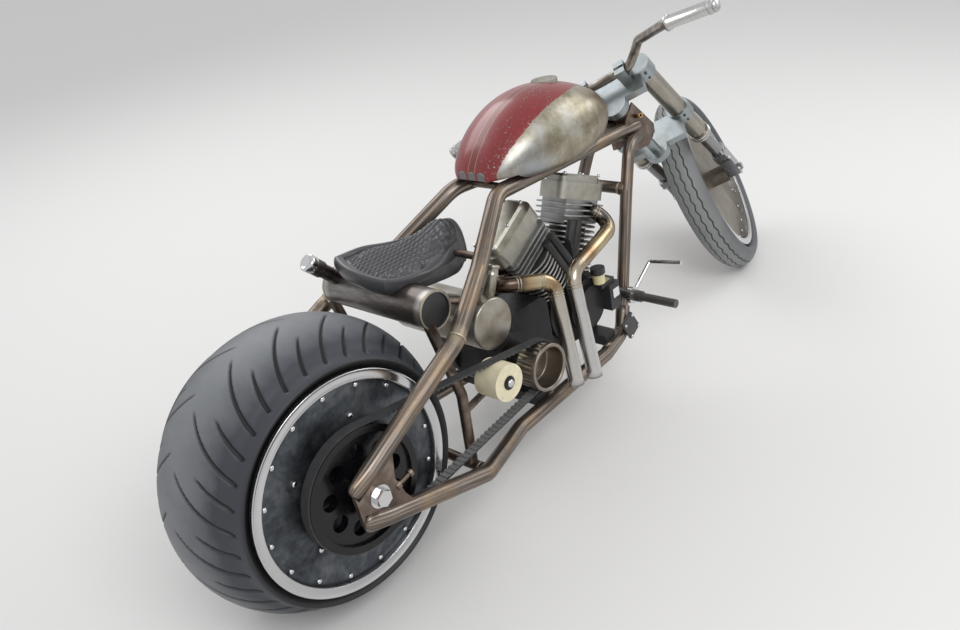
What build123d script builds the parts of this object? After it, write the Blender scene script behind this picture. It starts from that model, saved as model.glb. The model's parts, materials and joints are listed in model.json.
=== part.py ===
from build123d import *
from math import atan2, cos, degrees, hypot, pi, radians, sin, sqrt, tan
import os

os.makedirs("parts", exist_ok=True)

# Stance and steering geometry. The model is built upright, X forward and Y left, with its
# origin under the rear axle, and leaned onto its stand at the end.
lean = 6.3  # degrees to the left, resting on the side stand
steer = 34  # degrees to the left, resting on the steering stop
rake = 43.3  # steering axis from the vertical, degrees
wheelbase = 1818
fork_offset = 131  # front axle ahead of the steering axis
leg_tilt = 4.1  # fork legs kick forward of the steering axis, degrees

# Wheels and tyres
wheel_side = -17.5  # middle of the rear wheel, right of the frame's middle
rear_radius = 327
rear_width = 330
rear_crown = 195  # radius of the tread across the tyre
rear_seat = 229  # where the tyre sits on the rim
rear_lip = 245
rear_rim_half = 160.8
front_radius = 316
front_width = 106
front_crown = 54
front_seat = 240
front_lip = 254
front_rim_half = 40
front_cover_inset = 20
lip_band = 23  # width of a rim's visible lip
cover_wall = 4
cover_inset = 11  # how far the covers lie inside the rim's lips
cover_bolts = 16
cover_bolt_circle = 211
inner_bolts = 5
inner_bolt_circle = 148

# Axles
axle_radius = 12.5
axle_play = 0.05  # running clearance of a hub on its axle
hub_radius = 34

# Belt drive, on the right
belt_in = -188
belt_out = -213
belt_band = 3
tooth_depth = 3
tooth_wide = 7
tooth_pitch = 14
belt_play = 0.3
rear_pulley_radius = 138
pulley_rim = 16
pulley_holes = 9
pulley_hole_radius = 19
pulley_hole_circle = 84
drive_radius = 59
drive_wall = 9
drive_centre = (556, 316)
roller_radius = 45
roller_x = 416
drum_face = -243
drive_root = -118  # where the drum leaves the gearbox

# Frame tubes
tube_radius = 20
down_radius = 17
brace_radius = 13
bend = 85
head_low = 528
head_high = 684
head_radius = 32
dropout_y = 250
plate_thick = 12

# Fork, measured along the leg from the axle, and steering head
leg_half = 97.5
slider_radius = 20
upper_radius = 29
lug_top = 146
slider_top = 284
leg_top = 722
clamp_low = 440
clamp_high = 702
boss_thick = 46
clamp_thick = 24
clamp_boss = 35
stem_radius = 15

# Engine
crank = (884, 286)
cylinders = [
    {"name": "front", "tilt": 23},
    {"name": "rear", "tilt": -30},
]
case_radius = 104
case_half = 58
barrel_base = 92
barrel_top = 222
head_top = 288
rocker_top = 334
lid_top = 354
bore_radius = 50
fin_half = 76
fin_count = 9
fin_thick = 4
rocker_length = 184
rocker_width = 96

# Fuel tank, as sections from rear to front
tank_sections = [
    {"x": 650, "half": 52, "top": 748, "side": 735, "floor": 722},
    {"x": 684, "half": 88, "top": 798, "side": 750, "floor": 712},
    {"x": 760, "half": 120, "top": 856, "side": 764, "floor": 700},
    {"x": 860, "half": 136, "top": 888, "side": 772, "floor": 692},
    {"x": 970, "half": 134, "top": 882, "side": 776, "floor": 692},
    {"x": 1055, "half": 112, "top": 850, "side": 776, "floor": 706},
    {"x": 1108, "half": 76, "top": 812, "side": 770, "floor": 728},
    {"x": 1134, "half": 38, "top": 784, "side": 766, "floor": 750},
]
cap_x = 962
cap_radius = 34
tunnel_top = 730

# Saddle, as sections from rear to front: centre line, half width and how far the edge drops
seat_sections = [
    {"x": 245, "half": 48, "top": 676, "drop": 4},
    {"x": 263, "half": 84, "top": 669, "drop": -4},
    {"x": 302, "half": 96, "top": 655, "drop": -8},
    {"x": 356, "half": 101, "top": 653, "drop": 0},
    {"x": 418, "half": 93, "top": 653, "drop": 16},
    {"x": 472, "half": 82, "top": 665, "drop": 42},
    {"x": 517, "half": 66, "top": 684, "drop": 72},
    {"x": 552, "half": 52, "top": 676, "drop": 60},
    {"x": 572, "half": 38, "top": 656, "drop": 40},
]
seat_thick = 36
seat_roll = 11  # degrees, left side up

pieces = {}


def tube_path(points, radius):
    corners = [Vector(*point) for point in points]
    edges = []
    start = corners[0]
    for before, corner, after in zip(corners, corners[1:], corners[2:]):
        way_in = (corner - before).normalized()
        way_out = (after - corner).normalized()
        half_turn = radians(way_in.get_angle(way_out)) / 2
        reach = radius * tan(half_turn)
        inward = (way_out - way_in).normalized()
        arc_start = corner - way_in * reach
        arc_end = corner + way_out * reach
        arc_middle = corner + inward * (radius / cos(half_turn) - radius)
        edges.append(Edge.make_line(start, arc_start))
        edges.append(Edge.make_three_point_arc(arc_start, arc_middle, arc_end))
        start = arc_end
    edges.append(Edge.make_line(start, corners[-1]))
    return Wire(edges)


def bent_tube(points, radius, bend_radius, bore=0):
    path = tube_path(points, bend_radius)
    solid = sweep(Plane(origin=path @ 0, z_dir=path % 0) * Circle(radius), path=path)
    if bore:
        solid -= sweep(Plane(origin=path @ 0, z_dir=path % 0) * Circle(bore), path=path)
    return solid


def rod(start, end, radius, bore=0):
    start = Vector(*start)
    end = Vector(*end)
    ring = Circle(radius) - Circle(bore) if bore else Circle(radius)
    return extrude(Plane(origin=start, z_dir=end - start) * ring, (end - start).length)


def across(x, z, y_from, y_to, radius, bore=0):
    return rod((x, y_from, z), (x, y_to, z), radius, bore)


def upright_plate(points, y_from, y_to):
    """A flat plate standing along the bike, from its outline in X and Z."""
    face = make_face(Polyline(*[(x, y_from, z) for x, z in points], close=True))
    return extrude(face, y_to - y_from, dir=(0, 1, 0))


def mirrored(shape):
    return mirror(shape, about=Plane.XZ)


def both_sides(shape):
    return shape + mirrored(shape)


def spun(points, x, y, z):
    """A profile of (radius, y) points turned about a line along Y."""
    face = make_face(Polyline(*[(x + r, y + side, z) for r, side in points], close=True))
    return revolve(face, Axis((x, 0, z), (0, 1, 0)), 360)


def tyre(radius, width, crown, seat, lip, bead, x, y, z):
    half = width / 2
    shoulder = 0.79 * half
    drop = crown - sqrt(crown**2 - shoulder**2)
    tread = x + radius - drop
    rim = x + lip + 3
    belly = 0.55 * rim + 0.45 * tread
    outline = [
        ThreePointArc((tread, y - shoulder, z), (x + radius, y, z), (tread, y + shoulder, z)),
        Spline((tread, y + shoulder, z), (belly, y + 0.98 * half, z), (rim, y + bead + 3, z)),
        Line((rim, y + bead + 3, z), (x + seat, y + bead, z)),
        Line((x + seat, y + bead, z), (x + seat, y - bead, z)),
        Line((x + seat, y - bead, z), (rim, y - bead - 3, z)),
        Spline((rim, y - bead - 3, z), (belly, y - 0.98 * half, z), (tread, y - shoulder, z)),
    ]
    return revolve(make_face(outline), Axis((x, 0, z), (0, 1, 0)), 360)


def rim_profile(seat, lip, half, band):
    return [
        (lip - band, -half),
        (lip, -half),
        (lip, -half + 7),
        (seat, -half + 15),
        (seat, half - 15),
        (lip, half - 7),
        (lip, half),
        (lip - band, half),
    ]


# Local frames: the steering axis is the local Z of steer_plane, forward is its X
rake_sin = sin(radians(rake))
rake_cos = cos(radians(rake))
lean_sin = sin(radians(lean))
lean_cos = cos(radians(lean))
steer_sin = sin(radians(steer))
steer_cos = cos(radians(steer))
ground = rear_crown * (lean_cos - 1) - wheel_side * lean_sin
wheel_tilt = steer_cos * lean_sin + rake_sin * steer_sin * lean_cos
contact_drop = front_crown + (front_radius - front_crown) * sqrt(1 - wheel_tilt**2)
front_z = (ground + contact_drop + fork_offset * steer_sin * lean_sin) / lean_cos
front_z += fork_offset * (1 - steer_cos) * rake_sin
axis_foot = (wheelbase - fork_offset * rake_cos, 0, front_z - fork_offset * rake_sin)
steer_plane = Plane(origin=axis_foot, x_dir=(rake_cos, 0, rake_sin), z_dir=(-rake_sin, 0, rake_cos))
straight = steer_plane.location
steered = straight * Rotation(0, 0, steer)


def on_axis(s, y=0, ahead=0):
    """A point at height s along the steering axis, moved sideways and ahead of it."""
    x = axis_foot[0] - s * rake_sin + ahead * rake_cos
    return (x, y, axis_foot[2] + s * rake_cos + ahead * rake_sin)


# Rear wheel
rear_z = rear_radius
hub_bore = axle_radius + axle_play
nut_y = dropout_y + plate_thick / 2
axle = across(0, rear_z, -nut_y - 8, nut_y + 8, axle_radius)
for side in (-1, 1):
    axle += across(0, rear_z, side * nut_y, side * (nut_y + 3), 25)
    nut = Plane(origin=(0, side * (nut_y + 3), rear_z), z_dir=(0, side, 0)) * RegularPolygon(19, 6)
    axle += extrude(nut, 15)
pieces["rear_axle"] = axle
band_radius = rear_lip - lip_band
rim = spun(rim_profile(rear_seat, rear_lip, rear_rim_half, lip_band), 0, wheel_side, rear_z)
pieces["rear_rim"] = rim
covers = across(0, rear_z, belt_in + 2, 190, hub_radius, hub_bore)
for side in (-1, 1):
    outer = wheel_side + side * (rear_rim_half - cover_inset)
    cover = across(0, rear_z, outer - side * cover_wall, outer, band_radius, hub_radius)
    for count, circle in ((cover_bolts, cover_bolt_circle), (inner_bolts, inner_bolt_circle)):
        for place in PolarLocations(circle, count, 3):
            spot = place.position
            cover += across(spot.X, rear_z + spot.Y, outer, outer + side * 4, 5)
    covers += cover
pieces["rear_covers"] = covers
bead = rear_rim_half - 15
rear_tyre = tyre(rear_radius, rear_width, rear_crown, rear_seat, rear_lip, bead, 0, wheel_side, rear_z)
pieces["rear_tyre"] = rear_tyre
pulley = across(0, rear_z, belt_in + 2, belt_out - 2, rear_pulley_radius, hub_bore)
pulley -= across(0, rear_z, belt_out + 6, belt_out - 3, rear_pulley_radius - pulley_rim, hub_radius)
for place in PolarLocations(pulley_hole_circle, pulley_holes, 7):
    spot = place.position
    pulley -= across(spot.X, rear_z + spot.Y, belt_in + 3, belt_out - 3, pulley_hole_radius)
for place in PolarLocations(47, 5, 60):
    spot = place.position
    pulley += across(spot.X, rear_z + spot.Y, belt_out + 6, belt_out - 3, 8)
pieces["rear_pulley"] = pulley
brake = across(0, rear_z, 190, 196, 146, hub_bore)
for place in PolarLocations(95, 8):
    spot = place.position
    brake -= across(spot.X, rear_z + spot.Y, 189, 197, 16)
pieces["rear_brake_disc"] = brake

# Belt, drive drum and roller
drive_x, drive_z = drive_centre


def tangent(x1, z1, r1, x2, z2, r2, upper):
    """Where the outer common tangent of two circles touches them."""
    reach = hypot(x2 - x1, z2 - z1)
    along = ((x2 - x1) / reach, (z2 - z1) / reach)
    lift = (r1 - r2) / reach
    flat = sqrt(1 - lift**2) * (1 if upper else -1)
    normal = (along[0] * lift - along[1] * flat, along[1] * lift + along[0] * flat)
    return (x1 + r1 * normal[0], z1 + r1 * normal[1]), (x2 + r2 * normal[0], z2 + r2 * normal[1])


def belt_ends(gap, upper):
    return tangent(0, rear_z, rear_pulley_radius + gap, drive_x, drive_z, drive_radius + gap, upper)


def belt_loop(gap):
    """The face enclosed by the belt's run at a distance outside the pulleys."""
    rear = Plane.XZ * (Pos(0, rear_z) * Circle(rear_pulley_radius + gap))
    front = Plane.XZ * (Pos(drive_x, drive_z) * Circle(drive_radius + gap))
    top = belt_ends(gap, True)
    low = belt_ends(gap, False)
    middle = Plane.XZ * make_face(Polyline(top[0], top[1], low[1], low[0], close=True))
    return rear + front + middle


belt = extrude(belt_loop(belt_play + belt_band), belt_in - belt_out) - extrude(
    belt_loop(belt_play), belt_in - belt_out
)
belt = Pos(0, belt_in, 0) * belt
teeth = []
for upper in (True, False):
    start, end = belt_ends(belt_play, upper)
    length = hypot(end[0] - start[0], end[1] - start[1])
    angle = atan2(end[1] - start[1], end[0] - start[0])
    inward = -1 if upper else 1
    skip = roller_radius * 0.5 if upper else 0
    for step in range(3, int(length / tooth_pitch) - 1):
        along = step * tooth_pitch
        x = start[0] + along * cos(angle)
        if upper and abs(x - roller_x) < skip:
            continue
        z = start[1] + along * sin(angle)
        box = Box(tooth_wide, belt_in - belt_out, tooth_depth + 1)
        place = Pos(x, (belt_in + belt_out) / 2, z) * Rotation(0, -degrees(angle), 0)
        teeth.append(place * Pos(0, 0, inward * (tooth_depth - 1) / 2) * box)
pieces["drive_belt"] = belt + teeth
drum = across(drive_x, drive_z, drive_root, belt_in + 3, 40)
drum += across(drive_x, drive_z, belt_in + 3, drum_face, drive_radius)
drum -= across(drive_x, drive_z, belt_in, drum_face - 1, drive_radius - drive_wall)
pieces["drive_drum"] = drum
line_start, line_end = belt_ends(belt_play, True)
slope = atan2(line_end[1] - line_start[1], line_end[0] - line_start[0])
roller_reach = roller_radius + belt_play
roller_z = line_start[1] + (roller_x - line_start[0]) * tan(slope) - roller_reach / cos(slope)
roller = across(roller_x, roller_z, -176, drum_face, roller_radius, 17)
roller += across(roller_x, roller_z, -176, drum_face + 5, 17)
roller += across(roller_x, roller_z, drum_face + 5, drum_face - 1, 9)
roller += across(roller_x, roller_z, -176, -130, 9)
roller += rod((roller_x, -136, roller_z), (590, -60, 262), 10)
pieces["belt_roller"] = roller

# Frame
upper_points = [
    (-57, -dropout_y, 362),
    (300, -229, 519),
    (480, -147, 594),
    (652, -73, 704),
    on_axis(604, -16),
]
lower_points = [
    (-50, -dropout_y - 4, 288),
    (309, -229, 166),
    (500, -160, 150),
    (900, -130, 140),
    (1004, -112, 152),
    (1042, -96, 216),
]
down_points = [(1030, -98, 190), (1142, -80, 525), (1196, -66, 640), on_axis(556, -10)]
head_solid = rod(on_axis(head_low), on_axis(head_high), head_radius)
upper_right = bent_tube(upper_points, tube_radius, bend) - head_solid
lower_right = bent_tube(lower_points, tube_radius, 60)
down_right = bent_tube(down_points, down_radius, 60) - head_solid - lower_right - upper_right
pieces["upper_tubes"] = both_sides(upper_right)
pieces["lower_rails"] = both_sides(lower_right)
crosspiece = rod((1142, -80, 532), (1142, 80, 532), down_radius) - down_right - mirrored(down_right)
pieces["downtubes"] = both_sides(down_right) + crosspiece
gusset = upright_plate([(1250, 722), (1330, 690), (1370, 636), (1300, 610), (1236, 640)], -4, 4)
gusset -= upper_right + mirrored(upper_right) + down_right + mirrored(down_right)
head_bore = stem_radius + 0.05
neck_outline = [(680, 27), (552, 33), (532, 18), (534, -30), (596, -84), (676, -34)]
neck_points = [(on_axis(s, 0, ahead)[0], on_axis(s, 0, ahead)[2]) for s, ahead in neck_outline]
for side in (-1, 1):
    neck = upright_plate(neck_points, side * (head_radius - 3), side * (head_radius + 2))
    gusset += neck - upper_right - mirrored(upper_right) - down_right - mirrored(down_right)
head = head_solid + gusset
pieces["head_tube"] = head - rod(on_axis(head_low - 60), on_axis(head_high + 60), head_bore)
plate_outline = [(-55, 366), (-52, 276), (20, 258), (96, 236), (62, 292), (46, 340), (58, 412)]
plate = upright_plate(plate_outline, -dropout_y - plate_thick / 2, -dropout_y + plate_thick / 2)
plate -= across(0, rear_z, -270, -230, axle_radius)
plate -= upper_right + lower_right
plate += rod((40, -dropout_y, 314), (92, -dropout_y, 324), 5)
plate += rod((84, -dropout_y, 322.5), (92, -dropout_y, 324), 9)
plate += rod((46, -dropout_y, 315), (56, -dropout_y, 317), 10)
plate -= across(0, rear_z, -270, -230, axle_radius)
caliper = Pos(75, 194, 415) * Box(70, 56, 60)
caliper -= across(0, rear_z, 184, 202, 152)
caliper += Pos(50, 233, 397) * Box(20, 24, 25)
caliper -= mirrored(upper_right)
pieces["axle_plates"] = both_sides(plate) + caliper

# Cross tubes and struts between the two sides of the frame
cross = rod((318, -226, 164), (318, 226, 164), brace_radius)
cross += rod((640, -150, 160), (640, 150, 160), brace_radius)
cross += rod((980, -116, 158), (980, 116, 158), brace_radius)
cross += rod((505, -138, 610), (505, 138, 610), 9)
cross += rod((505, 0, 610), (505, 0, 672), 9)
cross += rod((332, -166, 300), (560, -60, 240), 9)
for side in (-1, 1):
    strut = [(286, side * 172, 548), (334, side * 168, 345), (318, side * 172, 164)]
    cross += bent_tube(strut, brace_radius, 60)

# Engine and gearbox
crank_x, crank_z = crank
case = across(crank_x, crank_z, -case_half, case_half, case_radius)
case += Pos(crank_x - 40, 0, crank_z - 78) * Box(260, 2 * case_half - 16, 60)
gearbox = Pos(650, 0, 296) * Box(236, 2 * case_half + 16, 168)
gearbox = fillet(gearbox.edges().filter_by(Axis.Y), 34)
case += gearbox
case += across(drive_x, drive_z, -case_half, drive_root, 62)
for x, z, wide in ((940, 168, 240), (610, 172, 290)):
    case += Pos(x, 0, z) * Box(44, wide, 30)
pieces["crankcase"] = case
timing = across(crank_x + 14, crank_z + 4, -case_half, -case_half - 38, 74)
timing += across(crank_x + 14, crank_z + 4, -case_half - 38, -case_half - 50, 55)
pieces["timing_cover"] = timing
primary = Plane.XZ * (
    Pos(crank_x, crank_z) * Circle(96)
    + Pos(620, crank_z + 16) * Circle(104)
    + Pos((crank_x + 620) / 2, crank_z + 8) * Rectangle(crank_x - 620, 186)
)
pieces["primary_cover"] = Pos(0, case_half, 0) * extrude(primary, -56)
for row in cylinders:
    place = Location((crank_x, 0, crank_z)) * Rotation(0, row["tilt"], 0)
    side = 1 if row["name"] == "front" else -1
    barrel_long = barrel_top - barrel_base
    barrel_middle = (barrel_base + barrel_top) / 2
    barrel = Pos(0, 0, barrel_middle) * Cylinder(bore_radius, barrel_long)
    spacing = barrel_long / fin_count
    for step in range(fin_count):
        barrel += Pos(0, 0, barrel_base + spacing * (step + 0.6)) * Cylinder(fin_half, fin_thick)
    for offset in (-40, -66):
        barrel += Pos(side * offset, -64, barrel_middle - 5) * Cylinder(12, barrel_long + 34)
    half = Pos(crank_x + side * 401, 0, crank_z) * Box(800, 800, 1400)
    pieces["cylinder_" + row["name"]] = (place * barrel) & half
    head = Box(rocker_length - 46, rocker_width - 12, head_top - barrel_top)
    head = Pos(0, 0, (barrel_top + head_top) / 2) * head
    for step in range(4):
        fin = Box(rocker_length - 18, rocker_width + 26, fin_thick)
        fin = fillet(fin.edges().filter_by(Axis.Z), 20)
        head += Pos(0, 0, barrel_top + 8 + step * 15) * fin
    pieces["head_" + row["name"]] = place * head
    shell = extrude(RectangleRounded(rocker_length, rocker_width, 26), rocker_top - head_top)
    lid = extrude(RectangleRounded(rocker_length - 22, rocker_width - 22, 20), lid_top - rocker_top)
    lid = chamfer(lid.faces().sort_by(Axis.Z)[-1].edges(), 6)
    shell = Pos(0, 0, head_top) * shell + Pos(0, 0, rocker_top) * lid
    pieces["rocker_cover_" + row["name"]] = place * shell

# Exhausts, open ended
pipe_radius = 20
pipe_bore = 18
rear_bend = 42
front_bend = 44
rear_pipe = [(706, -10, 454), (606, -16, 472), (600, -94, 486), (722, -142, 454), (682, -204, 184)]
front_pipe = [(1010, -44, 520), (1052, -96, 470), (940, -124, 462), (790, -146, 444), (756, -204, 168)]
pieces["exhaust_rear"] = bent_tube(rear_pipe, pipe_radius, rear_bend, pipe_bore)
pieces["exhaust_front"] = bent_tube(front_pipe, pipe_radius, front_bend, pipe_bore)

# Foot controls, forward on both sides
peg_base = (1036, 100, 262)
peg_tip = (1036, 282, 262)
peg_radius = 12
peg_length = 110
collar_radius = 16
pedal_pivot = (1036, 146, 262)
pedal_top = (1118, 150, 330)
pedal_end = (1124, 250, 340)
for name, side in (("right", -1), ("left", 1)):
    base = Vector(peg_base[0], side * peg_base[1], peg_base[2])
    tip = Vector(peg_tip[0], side * peg_tip[1], peg_tip[2])
    way = (tip - base).normalized()
    pieces["foot_peg_" + name] = rod(base, tip - way * peg_length, collar_radius) + rod(
        tip - way * peg_length, tip, peg_radius
    )
    pivot = Vector(pedal_pivot[0], side * (pedal_pivot[1] - 6), pedal_pivot[2])
    corner = Vector(pedal_top[0], side * pedal_top[1], pedal_top[2])
    end = Vector(pedal_end[0], side * pedal_end[1], pedal_end[2])
    pedal = rod(pivot, corner, 6) + rod(corner, end, 6)
    eye = across(pivot.X, pivot.Z, pivot.Y - 7, pivot.Y + 7, 24, collar_radius + 0.05)
    pedal = pedal - across(pivot.X, pivot.Z, pivot.Y - 40, pivot.Y + 40, collar_radius + 0.05) + eye
    pieces["brake_pedal" if side < 0 else "shift_pedal"] = pedal
brake_block = Pos(968, -118, 292) * Box(44, 34, 76)
brake_block += rod((934, -112, 340), (934, -112, 372), 17)
brake_block += Pos(952, -112, 336) * Box(56, 30, 14)
brake_block += rod((934, -112, 372), (934, -112, 388), 20)
pieces["brake_reservoir"] = brake_block

# Fuel tank
outlines = []
for row in tank_sections:
    half = row["half"]
    rise = row["top"] - row["side"]
    outline = Spline(
        (row["x"], 0, row["floor"]),
        (row["x"], 0.7 * half, row["floor"] + 4),
        (row["x"], half, row["side"] - 6),
        (row["x"], 0.72 * half, row["side"] + 0.72 * rise),
        (row["x"], 0, row["top"]),
        (row["x"], -0.72 * half, row["side"] + 0.72 * rise),
        (row["x"], -half, row["side"] - 6),
        (row["x"], -0.7 * half, row["floor"] + 4),
        periodic=True,
    )
    outlines.append(make_face(outline))
tank = loft(outlines)
tunnel = make_face(
    Polyline((560, -104), (690, -98), (1200, -52), (1200, 52), (690, 98), (560, 104), close=True)
)
tank -= Pos(0, 0, 600) * extrude(tunnel, tunnel_top - 600)
cap_z = max(row["top"] for row in tank_sections) - 6
tank += Pos(cap_x, 0, cap_z) * Cylinder(cap_radius, 14)
pieces["fuel_tank"] = tank
for x, y, z in ((700, 68, 700), (1070, 36, 677)):
    cross += rod((x, -y, z), (x, y, z), 9)
    cross += rod((x, 0, z), (x, 0, tunnel_top + 2), 9)

# Oil tank, round tank and saddle
oil_x, oil_z, oil_half, oil_radius = 312, 576, 172, 45
oil = across(oil_x, oil_z, -oil_half, oil_half, oil_radius)
oil += rod((oil_x - 10, 128, oil_z + 20), (oil_x - 62, 128, oil_z + 74), 17)
oil += rod((oil_x - 62, 128, oil_z + 74), (oil_x - 84, 128, oil_z + 97), 20)
oil -= across(oil_x, oil_z, -oil_half - 1, -oil_half + 5, oil_radius - 5)
pieces["oil_tank"] = oil
round_x, round_z, round_half, round_radius = 494, 444, 146, 64
round_tank = across(round_x, round_z, -round_half, round_half, round_radius)
round_tank += rod((round_x + 24, -112, round_z + 40), (round_x + 66, -112, round_z + 116), 15)
round_tank += rod((round_x + 60, -112, round_z + 105), (round_x + 68, -112, round_z + 119.5), 17)
pieces["round_tank"] = round_tank
for side in (-1, 1):
    cross += rod((oil_x + 20, side * 150, oil_z + 8), (oil_x + 88, side * 184, oil_z - 18), 8)
    cross += rod((oil_x, side * 50, oil_z + 30), (oil_x + 12, side * 50, oil_z + 54), 8)
    cross += rod((round_x - 16, side * 118, round_z + 50), (round_x - 14, side * 147, round_z + 150), 8)


def saddle_section(row, lowered, narrowed):
    half = row["half"] - narrowed
    top = row["top"] - lowered
    edge = top - row["drop"]
    return Spline(
        (row["x"], -half, edge),
        (row["x"], -0.55 * half, top - 0.3 * row["drop"]),
        (row["x"], 0, top),
        (row["x"], 0.55 * half, top - 0.3 * row["drop"]),
        (row["x"], half, edge),
    )


sections = []
for row in seat_sections:
    upper = saddle_section(row, 0, 0)
    lower = saddle_section(row, seat_thick, 0)
    sides = [Line(upper @ 0, lower @ 0), Line(upper @ 1, lower @ 1)]
    sections.append(make_face([upper, lower] + sides))
seat = loft(sections)
seat_centre = Location((0, 0, 660))
seat = seat_centre * Rotation(seat_roll, 0, 0) * seat_centre.inverse() * seat
pieces["seat"] = seat - across(oil_x, oil_z, -oil_half - 1, oil_half + 1, oil_radius + 0.3)

# Front end in the steering frame, x forward, z along the axis
front = {}
leg = Location((fork_offset, 0, 0)) * Rotation(0, -leg_tilt, 0)


def leg_ahead(s):
    """How far the leg's axis lies ahead of the steering axis at height s."""
    return fork_offset - s * tan(radians(leg_tilt))


tubes = Part()
sliders = Part()
for side in (-1, 1):
    at = leg * Pos(0, side * leg_half, 0)
    tube = Pos(0, 0, (slider_top + leg_top) / 2) * Cylinder(upper_radius, leg_top - slider_top)
    tube += Pos(0, 0, slider_top + 12) * Cylinder(upper_radius + 4, 24)
    tubes += at * tube
    slider = Pos(0, 0, (lug_top + slider_top) / 2) * Cylinder(slider_radius, slider_top - lug_top)
    front_edge = [(-26, 118), (-26, 150), (26, 150), (30, 96), (26, 0)]
    rear_edge = [(14, -24), (-14, -24), (-26, 0), (-12, 80)]
    lug = extrude(Plane.XZ * make_face(Polyline(*front_edge, *rear_edge, close=True)), 20, both=True)
    lug -= Rotation(90, 0, 0) * Cylinder(axle_radius, 80)
    sliders += at * (slider - lug + lug)
front["fork_tubes"] = tubes
front["fork_sliders"] = sliders
for name, s in (("lower", clamp_low), ("upper", clamp_high)):
    ahead = leg_ahead(s)
    flat = Circle(38) + Pos(ahead / 2, 0) * Rectangle(ahead * 0.9, 2 * leg_half)
    bosses = Sketch()
    for side in (-1, 1):
        bosses += Pos(ahead, side * leg_half) * Circle(clamp_boss)
    clamp = extrude(flat + bosses, clamp_thick / 2, both=True) + extrude(bosses, boss_thick / 2, both=True)
    front["clamp_" + name] = Pos(0, 0, s) * clamp - tubes
stem_low = clamp_low
stem_high = clamp_high - clamp_thick / 2
front["clamp_lower"] += Pos(0, 0, (stem_low + stem_high) / 2) * Cylinder(stem_radius, stem_high - stem_low)
front_axle = Rotation(90, 0, 0) * Cylinder(axle_radius, 2 * leg_half + 60)
front["fork_sliders"] += Pos(fork_offset, 0, 0) * front_axle
bar_radius = 12.7
grip_radius = 17
grip_length = 125
riser_top = 752
riser_x = 58
half_bar = [
    (riser_x, 0, riser_top),
    (riser_x + 2, 84, riser_top),
    (riser_x + 14, 118, 778),
    (riser_x + 12, 146, 812),
    (16, 205, 868),
    (-50, 258, 935),
    (-96, 390, 952),
]
bar = Part()
for side in (-1, 1):
    bar += bent_tube([(x, side * y, z) for x, y, z in half_bar], bar_radius, 26)
for side in (-1, 1):
    tip = Vector(half_bar[-1][0], side * half_bar[-1][1], half_bar[-1][2])
    inner = Vector(half_bar[-2][0], side * half_bar[-2][1], half_bar[-2][2])
    way = (tip - inner).normalized()
    bar += rod(tip - way * grip_length, tip, grip_radius)
    bar += rod(tip - way * (grip_length + 8), tip - way * grip_length, grip_radius + 4)
front["handlebar"] = bar
riser_low = clamp_high + clamp_thick / 2
riser_high = riser_top + 20
for side in (-1, 1):
    riser = Box(42, 30, riser_high - riser_low)
    front["clamp_upper"] += Pos(riser_x, side * 60, (riser_low + riser_high) / 2) * riser
front["clamp_upper"] -= bar + tubes

# Front wheel in the same frame, axle along Y
front_wheel = {}
front_bead = front_rim_half - 15
front_tyre = tyre(front_radius, front_width, front_crown, front_seat, front_lip, front_bead, 0, 0, 0)
front_wheel["front_tyre"] = front_tyre
front_rim = spun(rim_profile(front_seat, front_lip, front_rim_half, lip_band - 4), 0, 0, 0)
front_wheel["front_rim"] = front_rim
discs = across(0, 0, -leg_half + 22, leg_half - 22, 30, hub_bore)
for side in (-1, 1):
    outer = side * (front_rim_half - front_cover_inset)
    disc = across(0, 0, outer - side * 3, outer, front_lip - lip_band + 4, 30)
    for place in PolarLocations(front_lip - 34, 20):
        spot = place.position
        disc += across(spot.X, spot.Y, outer, outer + side * 3, 4)
    discs += disc
front_wheel["front_covers"] = discs

# Pieces that meet are cut to fit each other
fits = [
    ("exhaust_rear", "head_rear"), ("exhaust_front", "head_front"),
    ("exhaust_rear", "cylinder_rear"), ("exhaust_front", "cylinder_front"),
    ("cylinder_rear", "crankcase"), ("cylinder_front", "crankcase"),
    ("cylinder_rear", "timing_cover"), ("cylinder_front", "timing_cover"),
    ("head_rear", "head_front"), ("rocker_cover_rear", "rocker_cover_front"),
    ("head_rear", "cylinder_rear"), ("head_front", "cylinder_front"),
    ("crankcase", "lower_rails"), ("foot_peg_right", "downtubes"), ("foot_peg_left", "downtubes"),
    ("foot_peg_right", "lower_rails"), ("foot_peg_left", "lower_rails"),
    ("round_tank", "crankcase"), ("drive_drum", "crankcase"), ("belt_roller", "crankcase"),
    ("brake_reservoir", "timing_cover"), ("brake_reservoir", "downtubes"), ("brake_reservoir", "crankcase"),
    ("brake_reservoir", "lower_rails"), ("brake_reservoir", "foot_peg_right"),
    ("primary_cover", "crankcase"), ("cylinder_rear", "primary_cover"), ("cylinder_front", "primary_cover"),
    ("exhaust_front", "rocker_cover_front"), ("exhaust_rear", "rocker_cover_rear"),
    ("fuel_tank", "upper_tubes"), ("primary_cover", "lower_rails"), ("exhaust_rear", "crankcase"),
    ("exhaust_front", "timing_cover"), ("exhaust_rear", "timing_cover"),
]
for piece, other in fits:
    pieces[piece] = pieces[piece] - pieces[other]
frame_cutters = ["lower_rails", "upper_tubes", "downtubes"]
body_cutters = ["crankcase", "oil_tank", "round_tank", "fuel_tank", "belt_roller"]
for other in frame_cutters + body_cutters:
    cross -= pieces[other]
cross = cross - Pos(0, 0, -0.3) * pieces["seat"] - pieces["seat"] - pieces["primary_cover"]
smallest_offcut = 100  # cubic millimetres, less is dropped
pieces["cross_tubes"] = Part() + [solid for solid in cross.solids() if solid.volume > smallest_offcut]

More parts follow.
